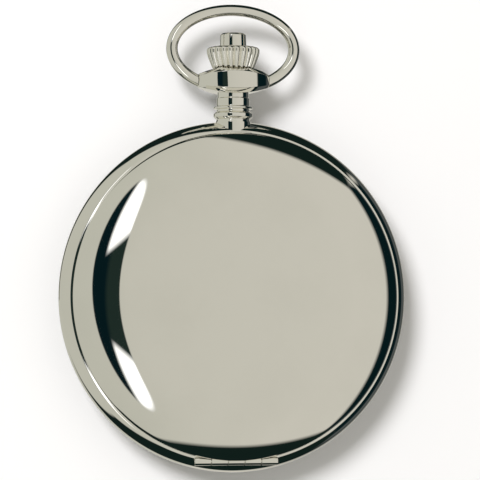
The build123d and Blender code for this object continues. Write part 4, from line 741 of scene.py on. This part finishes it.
# ------------------------------------------------------------------ pendant, bow, crown
def neck():
    """The pendant neck: a turned post with a round ring, a thin flange and a stepped top."""
    start, end = CASE_RADIUS, NECK_BOX[1][1]
    wide, slim, tube = NECK_RING_RADIUS, NECK_RADIUS, NECK_TUBE_RADIUS
    corners = [
        (NECK_BORE, SEAM_RADIUS - 1.0), (tube, SEAM_RADIUS - 1.0), (tube, SEAM_RADIUS - 0.2),
        (slim + 0.15, SEAM_RADIUS - 0.2), (slim + 0.15, start - 0.1), (slim, start + 0.3),
        (wide - 0.25, start + 0.42),
        (wide, start + 0.65), (wide, start + 1.12), (wide - 0.25, start + 1.35), (slim, start + 1.42),
        (slim, start + 1.75), (wide, start + 1.8), (wide, start + 2.1), (slim, start + 2.15),
        (slim, start + 3.3), (slim - 0.12, start + 3.4), (slim - 0.12, end), (NECK_BORE, end),
    ]
    post = turned("neck_post", rounded(corners, 0.16, 5), axis="Y", turns=128, closed=True)
    piece("neck_post", post, "case", SILVER, ["pendant_neck"])


def chamfered(h, d, cut):
    """A closed section in the YZ plane: a box of half-height h and half-depth d with flat bevels."""
    corners = [
        (h - cut, d), (h, d - 1.1 * cut), (h, -d + 1.1 * cut), (h - cut, -d),
        (-h + cut, -d), (-h, -d + 1.1 * cut), (-h, d - 1.1 * cut), (-h + cut, d),
    ]
    return rounded(corners, 2 * EDGE_ROUND, 3)


def collar():
    """The lens-shaped collar round the neck: bevelled sections that shrink towards both ends.

    Half-height and half-depth follow circular arcs from the middle to the square ends.
    """
    half = COLLAR_BOX[1][0]
    middle_y = (COLLAR_BOX[0][1] + COLLAR_BOX[1][1]) / 2
    tall = (COLLAR_BOX[1][1] - COLLAR_BOX[0][1]) / 2
    deep = (COLLAR_BOX[1][2] - COLLAR_BOX[0][2]) / 2

    def bowed(x, top):
        """A circular arc from the top in the middle to the end's half size."""
        rise = top - COLLAR_END_HALF
        radius = (half**2 + rise**2) / (2 * rise)
        return sqrt(radius**2 - x**2) - (radius - top)

    sections = []
    ends = [(-half, 0.0), (-half, 0.86), (-half + 0.06, 0.97)]
    run = [(x, 1.0) for x in np.linspace(-half + 0.16, half - 0.16, 61)]
    for x, scale in ends + run + [(-x, s) for x, s in ends[::-1]]:
        h, d = bowed(x, tall), bowed(x, deep)
        flat = chamfered(h, d, BEVEL_SHARE * h) * scale
        y, z = middle_y + flat[:, 0], STEM_Z + flat[:, 1]
        sections.append(np.column_stack([np.full(len(flat), x), y, z]))
    lens = sheet_mesh("collar_lens", np.array(sections))
    bore = plug("bore", COLLAR_BORE, middle_y - 5, middle_y + 5, 96)
    recess = plug("recess", CROWN_RECESS_RADIUS, CROWN_LOW - 0.15, middle_y + 5, 96)
    cut = combined("collar_lens", lens, [bore, recess], "DIFFERENCE")
    piece("collar_lens", cut, "case", SILVER, ["bow_collar"], angle=20.0)
    pins = []
    for side in (-1, 1):
        start, finish = side * half - BOW_PIN_DEPTH, side * half + BOW_PIN_DEPTH
        pins.append(moved(rod_mesh("pin", BOW_PIN_RADIUS, start, finish, 32), 0, middle_y, STEM_Z))
    pivots = joined("bow_pins", pins)
    piece("bow_pins", pivots, "case", SILVER, ["bow_pivots"])


def bow_ring():
    """The oval bow: a circle carried along an ellipse from one collar end round to the other.

    The first and last sections are slid along the path onto the collar's end planes.
    """
    wire = (BOW_BOX[1][2] - BOW_BOX[0][2]) / 2
    half_width, half_height = BOW_BOX[1][0] - BOW_WIRE, BOW_HALF_HEIGHT
    middle = BOW_BOX[1][1] - wire - half_height
    reach = COLLAR_BOX[1][0] + SEAM_GAP
    first = asin(-sqrt(1 - (reach / half_width) ** 2))
    t = np.linspace(first, pi - first, 161)
    path = np.stack([half_width * np.cos(t), middle + half_height * np.sin(t), 0 * t], axis=1)
    tangent = np.stack([-half_width * np.sin(t), half_height * np.cos(t), 0 * t], axis=1)
    tangent /= np.linalg.norm(tangent, axis=1)[:, None]
    across = np.cross(tangent, [0, 0, 1])
    s = np.linspace(0, 2 * pi, 48, endpoint=False)
    ring = across[:, None, :] * np.cos(s)[None, :, None]
    ring = ring + np.array([0, 0, 1.0]) * np.sin(s)[None, :, None]
    grid = path[:, None, :] + wire * ring
    for row in (0, -1):
        side = np.sign(path[row, 0])
        slide = (side * reach - grid[row, :, 0]) / tangent[row, 0]
        grid[row] += tangent[row] * slide[:, None]
    grid[:, :, 2] += STEM_Z
    caps = [np.tile(grid[row].mean(axis=0), (1, len(s), 1)) for row in (0, -1)]
    full = np.concatenate([caps[0], grid, caps[1]])
    piece("bow_ring", sheet_mesh("bow_ring", full), "bow", SILVER, ["bow"])


def crown_cup():
    """The fluted winding crown.

    Its radius is a turned outline less a flute depth times (1 - |sin(n t / 2)|) to the power
    1.25, which gives round lobes between sharp valleys; the depth fades over the lip into the
    button's well.
    """
    low, end, wide = CROWN_LOW, CROWN_END, CROWN_TOP_RADIUS
    well = WELL_RADIUS
    outline = [  # radius, height and share of the flute depth
        (STEM_HOLE, low + 0.02, 0), (1.4, low, 0), (2.3, low, 0.3), (2.62, low + 0.05, 0.7),
        (2.76, low + 0.2, 1),
        (2.86, low + 0.4, 1), (3.02, low + 0.7, 1), (3.2, low + 1.1, 1), (3.38, low + 1.55, 1),
        (3.55, low + 2.0, 1), (3.68, low + 2.4, 1), (3.77, low + 2.75, 1), (wide, low + 3.0, 1),
        (3.78, low + 3.2, 1), (3.70, low + 3.36, 0.95), (3.55, low + 3.48, 0.85),
        (3.32, low + 3.56, 0.6), (3.05, end, 0.3), (2.6, end, 0.05), (2.1, end - 0.02, 0),
        (well + 0.02, end - 0.08, 0), (well, end - 0.3, 0), (well, end - WELL_DEPTH, 0),
        (STEM_HOLE, end - WELL_DEPTH, 0),
    ]
    outline = np.array(outline)
    dense = np.linspace(0, len(outline) - 1, 3 * len(outline) - 2)
    knots = np.arange(len(outline))
    base, height, depth = (np.interp(dense, knots, outline[:, n])[:, None] for n in range(3))
    t = np.linspace(0, 2 * pi, CROWN_FLUTES * 16, endpoint=False)
    valley = (1 - np.abs(np.sin(CROWN_FLUTES * t / 2))) ** 1.25
    radius = base - FLUTE_DEPTH * depth * valley
    grid = np.stack([radius * np.cos(t), height + 0 * t, STEM_Z - radius * np.sin(t)], axis=-1)
    mesh = sheet_mesh("crown_cup", grid, wrap_rows=True)
    piece("crown_cup", mesh, "crown", SILVER, ["crown"], angle=50.0)


def button():
    """The push-button: a turned plug with a soft domed end."""
    low, high = BUTTON_BOX[0][1], BUTTON_BOX[1][1]
    wide = BUTTON_BOX[1][0]
    corners = [
        (0, low), (wide, low), (wide, high - 1.8), (wide - 0.06, high - 0.28),
        (wide - 0.3, high - 0.03), (0, high),
    ]
    mesh = turned("button_plug", rounded(corners, 0.18, 5, closed=False), axis="Y", turns=96)
    piece("button_plug", mesh, "button", SILVER, ["push_button"])


# ------------------------------------------------------------------ the dial's printing
def text_mesh(words, size, at, turn=0.0):
    """A numeral as a thin solid, made a mesh before it is placed (mm)."""
    curve = bpy.data.curves.new("numeral", "FONT")
    curve.body = words
    curve.align_x, curve.align_y = "CENTER", "CENTER"
    curve.size = size
    curve.extrude = NUMERAL_HALF
    holder = bpy.data.objects.new("numeral", curve)
    bpy.context.scene.collection.objects.link(holder)
    bpy.context.view_layer.update()
    made = bpy.data.meshes.new_from_object(holder.evaluated_get(bpy.context.evaluated_depsgraph_get()))
    bpy.data.objects.remove(holder)
    spots = np.empty(len(made.vertices) * 3, np.float32)
    made.vertices.foreach_get("co", spots)
    spots = spots.reshape(-1, 3)
    x = spots[:, 0] * cos(turn) - spots[:, 1] * sin(turn) + at[0]
    y = spots[:, 0] * sin(turn) + spots[:, 1] * cos(turn) + at[1]
    placed_spots = np.stack([x, y, spots[:, 2] + DIAL_HIGH + NUMERAL_HALF], axis=1) * MM
    made.vertices.foreach_set("co", placed_spots.ravel())
    return welded(made)


def bars_mesh(name, centre, inner, outer, width, count, z, skip=0):
    """Thin radial bars round a centre, each a small box; every skip-th one is left out."""
    angles = np.array([n for n in range(count) if not (skip and n % skip == 0)]) * 2 * pi / count
    ca, sa = np.cos(angles)[:, None], np.sin(angles)[:, None]
    along = np.array([inner, outer, outer, inner] * 2)
    side = np.array([-1, -1, 1, 1] * 2) * width / 2
    high = np.array([0.0] * 4 + [PRINT_HEIGHT] * 4)
    x = centre[0] + ca * along - sa * side
    y = centre[1] + sa * along + ca * side
    spots = np.stack([x, y, z + high + 0 * x], axis=-1).reshape(-1, 3)
    faces = np.array(
        [[3, 2, 1, 0], [4, 5, 6, 7], [0, 1, 5, 4], [1, 2, 6, 5], [2, 3, 7, 6], [3, 0, 4, 7]]
    )
    every = (faces[None] + 8 * np.arange(len(angles))[:, None, None]).reshape(-1, 4)
    mesh = bpy.data.meshes.new(name)
    mesh.from_pydata((spots * MM).tolist(), [], every.tolist())
    return mesh


def line_ring(name, centre, radius, width, z):
    """A thin raised circle round a centre."""
    outer, inner, top = radius + width / 2, radius - width / 2, z + PRINT_HEIGHT
    corners = [(outer, z), (outer, top), (inner, top), (inner, z)]
    return moved(turned(name, corners, turns=144, closed=True), centre[0], centre[1], 0)


def dial_printing():
    """Numerals, a minute track and the small seconds track, raised a hair above the enamel."""
    edge = DIAL_BOX[1][0]
    numerals = edge - 4.6
    wheel = node_box("fourth_wheel")
    seconds_at = (0.0, round((wheel[0][1] + wheel[1][1]) / 2, 2))
    prints = []
    for hour in range(1, 13):
        if hour == 6:
            continue
        heading = pi / 2 - hour * pi / 6
        prints.append(text_mesh(str(hour), 3.6, (numerals * cos(heading), numerals * sin(heading))))
    prints.append(bars_mesh("minutes", (0, 0), edge - 2.2, edge - 1.5, 0.09, 60, DIAL_HIGH, 5))
    prints.append(bars_mesh("fives", (0, 0), edge - 2.2, edge - 1.5, 0.26, 12, DIAL_HIGH))
    prints.append(line_ring("track", (0, 0), edge - 1.5, 0.07, DIAL_HIGH))
    prints.append(line_ring("track_in", (0, 0), edge - 2.2, 0.07, DIAL_HIGH))
    sunk = DIAL_HIGH - SECONDS_SINK
    prints.append(bars_mesh("seconds", seconds_at, 3.6, 4.1, 0.07, 60, sunk, 5))
    prints.append(bars_mesh("tens", seconds_at, 3.5, 4.1, 0.16, 12, sunk))
    prints.append(line_ring("seconds_track", seconds_at, 4.1, 0.06, sunk))
    piece("dial_printing", joined("dial_printing", prints), "case", PAINT)


lid()
back()
band()
bezel_and_glass()
neck()
collar()
bow_ring()
crown_cup()
button()
dial_printing()


# ------------------------------------------------------------------ floor, light and camera
def floor():
    """A plain pale floor just under the watch."""
    half = 2.5
    mesh = bpy.data.meshes.new("floor")
    low = BACK_BOX[0][2] * MM - 0.00002
    corners = [(-half, -half, low), (half, -half, low), (half, half, low), (-half, half, low)]
    mesh.from_pydata(corners, [], [(0, 1, 2, 3)])
    made = bpy.data.objects.new("floor", mesh)
    bpy.context.scene.collection.objects.link(made)
    pale = bpy.data.materials.new("pale_floor")
    pale.use_nodes = True
    shader = pale.node_tree.nodes["Principled BSDF"]
    shader.inputs["Base Color"].default_value = (0.94, 0.93, 0.95, 1)
    shader.inputs["Roughness"].default_value = 0.85
    shader.inputs["Specular IOR Level"].default_value = 0.1
    mesh.materials.append(pale)
    made.visible_glossy = False


def inside(tree, value, low, high, soft):
    """One between two limits, nought beyond, with soft edges."""
    rise = spread(tree, value, low - soft, low + soft, 0, 1)
    fall = spread(tree, value, high - soft, high + soft, 1, 0)
    return maths(tree, "MULTIPLY", rise, fall)


def bent(tree, value, middle, start, bend):
    """The curve start + bend * (value - middle) squared."""
    off = maths(tree, "SUBTRACT", value, middle)
    return maths(tree, "ADD", maths(tree, "MULTIPLY", maths(tree, "MULTIPLY", off, off), bend), start)


def studio():
    """A soft light tent: pale all round, with dark openings to the left, right, top and bottom.

    a and b are angles from straight up, in degrees, towards +X and +Y; across and along are the
    angles out of the upright planes through Y and through X.
    """
    world = bpy.data.worlds.new("light_tent")
    bpy.context.scene.world = world
    world.use_nodes = True
    tree = world.node_tree
    where = tree.nodes.new("ShaderNodeTexCoord").outputs["Generated"]
    parts = tree.nodes.new("ShaderNodeSeparateXYZ")
    tree.links.new(where, parts.inputs["Vector"])
    x, y, z = parts.outputs["X"], parts.outputs["Y"], parts.outputs["Z"]
    a = maths(tree, "MULTIPLY", maths(tree, "ARCTAN2", x, z), 180 / pi)
    b = maths(tree, "MULTIPLY", maths(tree, "ARCTAN2", y, z), 180 / pi)
    across = maths(tree, "MULTIPLY", maths(tree, "ARCSINE", x), 180 / pi)
    along = maths(tree, "MULTIPLY", maths(tree, "ARCSINE", y), 180 / pi)
    sweep = spread(tree, a, -50, 30, 0, 1)
    colour = blend(tree, sweep, (0.52, 0.52, 0.46, 1), (0.60, 0.585, 0.53, 1))
    # the window on the left: an ellipse leaning left at its top, dark with two white panes
    lean = maths(tree, "ADD", a, maths(tree, "MULTIPLY", b, 0.1))
    wide = maths(tree, "DIVIDE", maths(tree, "ADD", lean, 28.0), 13.8)
    tall = maths(tree, "DIVIDE", maths(tree, "SUBTRACT", b, 4), 43)
    reach = maths(tree, "ADD", maths(tree, "MULTIPLY", wide, wide), maths(tree, "MULTIPLY", tall, tall))
    window = spread(tree, reach, 0.92, 1.06, 1, 0)
    nearer = spread(tree, a, -30, -26, 0, 1)
    depth = blend(tree, nearer, (0.002, 0.010, 0.013, 1), (0.014, 0.026, 0.022, 1))
    colour = blend(tree, window, colour, depth)
    upper = maths(tree, "MULTIPLY", inside(tree, b, 16, 60, 1.5), inside(tree, a, -32, 0, 1.5))
    lower = maths(tree, "MULTIPLY", inside(tree, b, -60, -14, 1.5), inside(tree, a, -27, 0, 1.5))
    panes = maths(tree, "MULTIPLY", maths(tree, "ADD", upper, lower), window)
    colour = blend(tree, panes, colour, (1.5, 1.5, 1.5, 1))
    # the dark crescents beyond the top and the foot, and the dark side on the right
    over = maths(tree, "SUBTRACT", b, bent(tree, across, 30, 56, 0.015))
    under = maths(tree, "SUBTRACT", maths(tree, "MULTIPLY", b, -1), bent(tree, across, 8, 54, 0.014))
    top = maths(tree, "MULTIPLY", inside(tree, over, 0, 85, 2), inside(tree, across, -30, 50, 1.5))
    foot = maths(tree, "MULTIPLY", inside(tree, under, 0, 75, 2), inside(tree, across, -40, 46, 1.5))
    dark = maths(tree, "MAXIMUM", top, foot)
    colour = blend(tree, dark, colour, (0.006, 0.014, 0.012, 1))
    side = maths(tree, "MULTIPLY", inside(tree, a, 68, 200, 2), inside(tree, along, -46, 37, 1.5))
    side = maths(tree, "MULTIPLY", side, spread(tree, a, 128, 165, 1, 0))
    grey = inside(tree, a, 104, 128, 5)
    streak = blend(tree, grey, (0.002, 0.010, 0.012, 1), (0.075, 0.085, 0.085, 1))
    colour = blend(tree, side, colour, streak)
    path = tree.nodes.new("ShaderNodeLightPath")
    colour = blend(tree, path.outputs["Is Camera Ray"], colour, (1.0, 1.0, 1.0, 1))
    tree.links.new(colour, tree.nodes["Background"].inputs["Color"])
    tree.nodes["Background"].inputs["Strength"].default_value = 1.0


def key_light():
    """A soft light from the upper left, kept out of the reflections."""
    data = bpy.data.lights.new("key", "AREA")
    data.shape = "DISK"
    data.size = 0.34
    data.energy = 7.5
    made = bpy.data.objects.new("key", data)
    bpy.context.scene.collection.objects.link(made)
    made.location = (-0.42, 0.36, 0.85)
    made.rotation_euler = (Vector((0, 0.005, 0)) - made.location).to_track_quat("-Z", "Y").to_euler()
    made.visible_glossy = False


def camera():
    """A long lens above the watch, leaning to its left."""
    data = bpy.data.cameras.new("camera")
    data.lens = 200
    data.clip_start, data.clip_end = 0.01, 10
    made = bpy.data.objects.new("camera", data)
    bpy.context.scene.collection.objects.link(made)
    bpy.context.scene.camera = made
    lean_left, lean_low = radians(10.0), radians(2.0)
    distance = 0.381
    aim = Vector((0.0010, 0.0081, 0.0065))
    back = Vector((-tan(lean_left), -tan(lean_low), 1.0)).normalized()
    made.location = aim + back * distance
    side = Vector((0, 1, 0)).cross(back).normalized()
    upward = back.cross(side)
    made.rotation_euler = Matrix((side, upward, back)).transposed().to_euler()


floor()
studio()
key_light()
camera()
bpy.context.scene.view_settings.view_transform = "Standard"
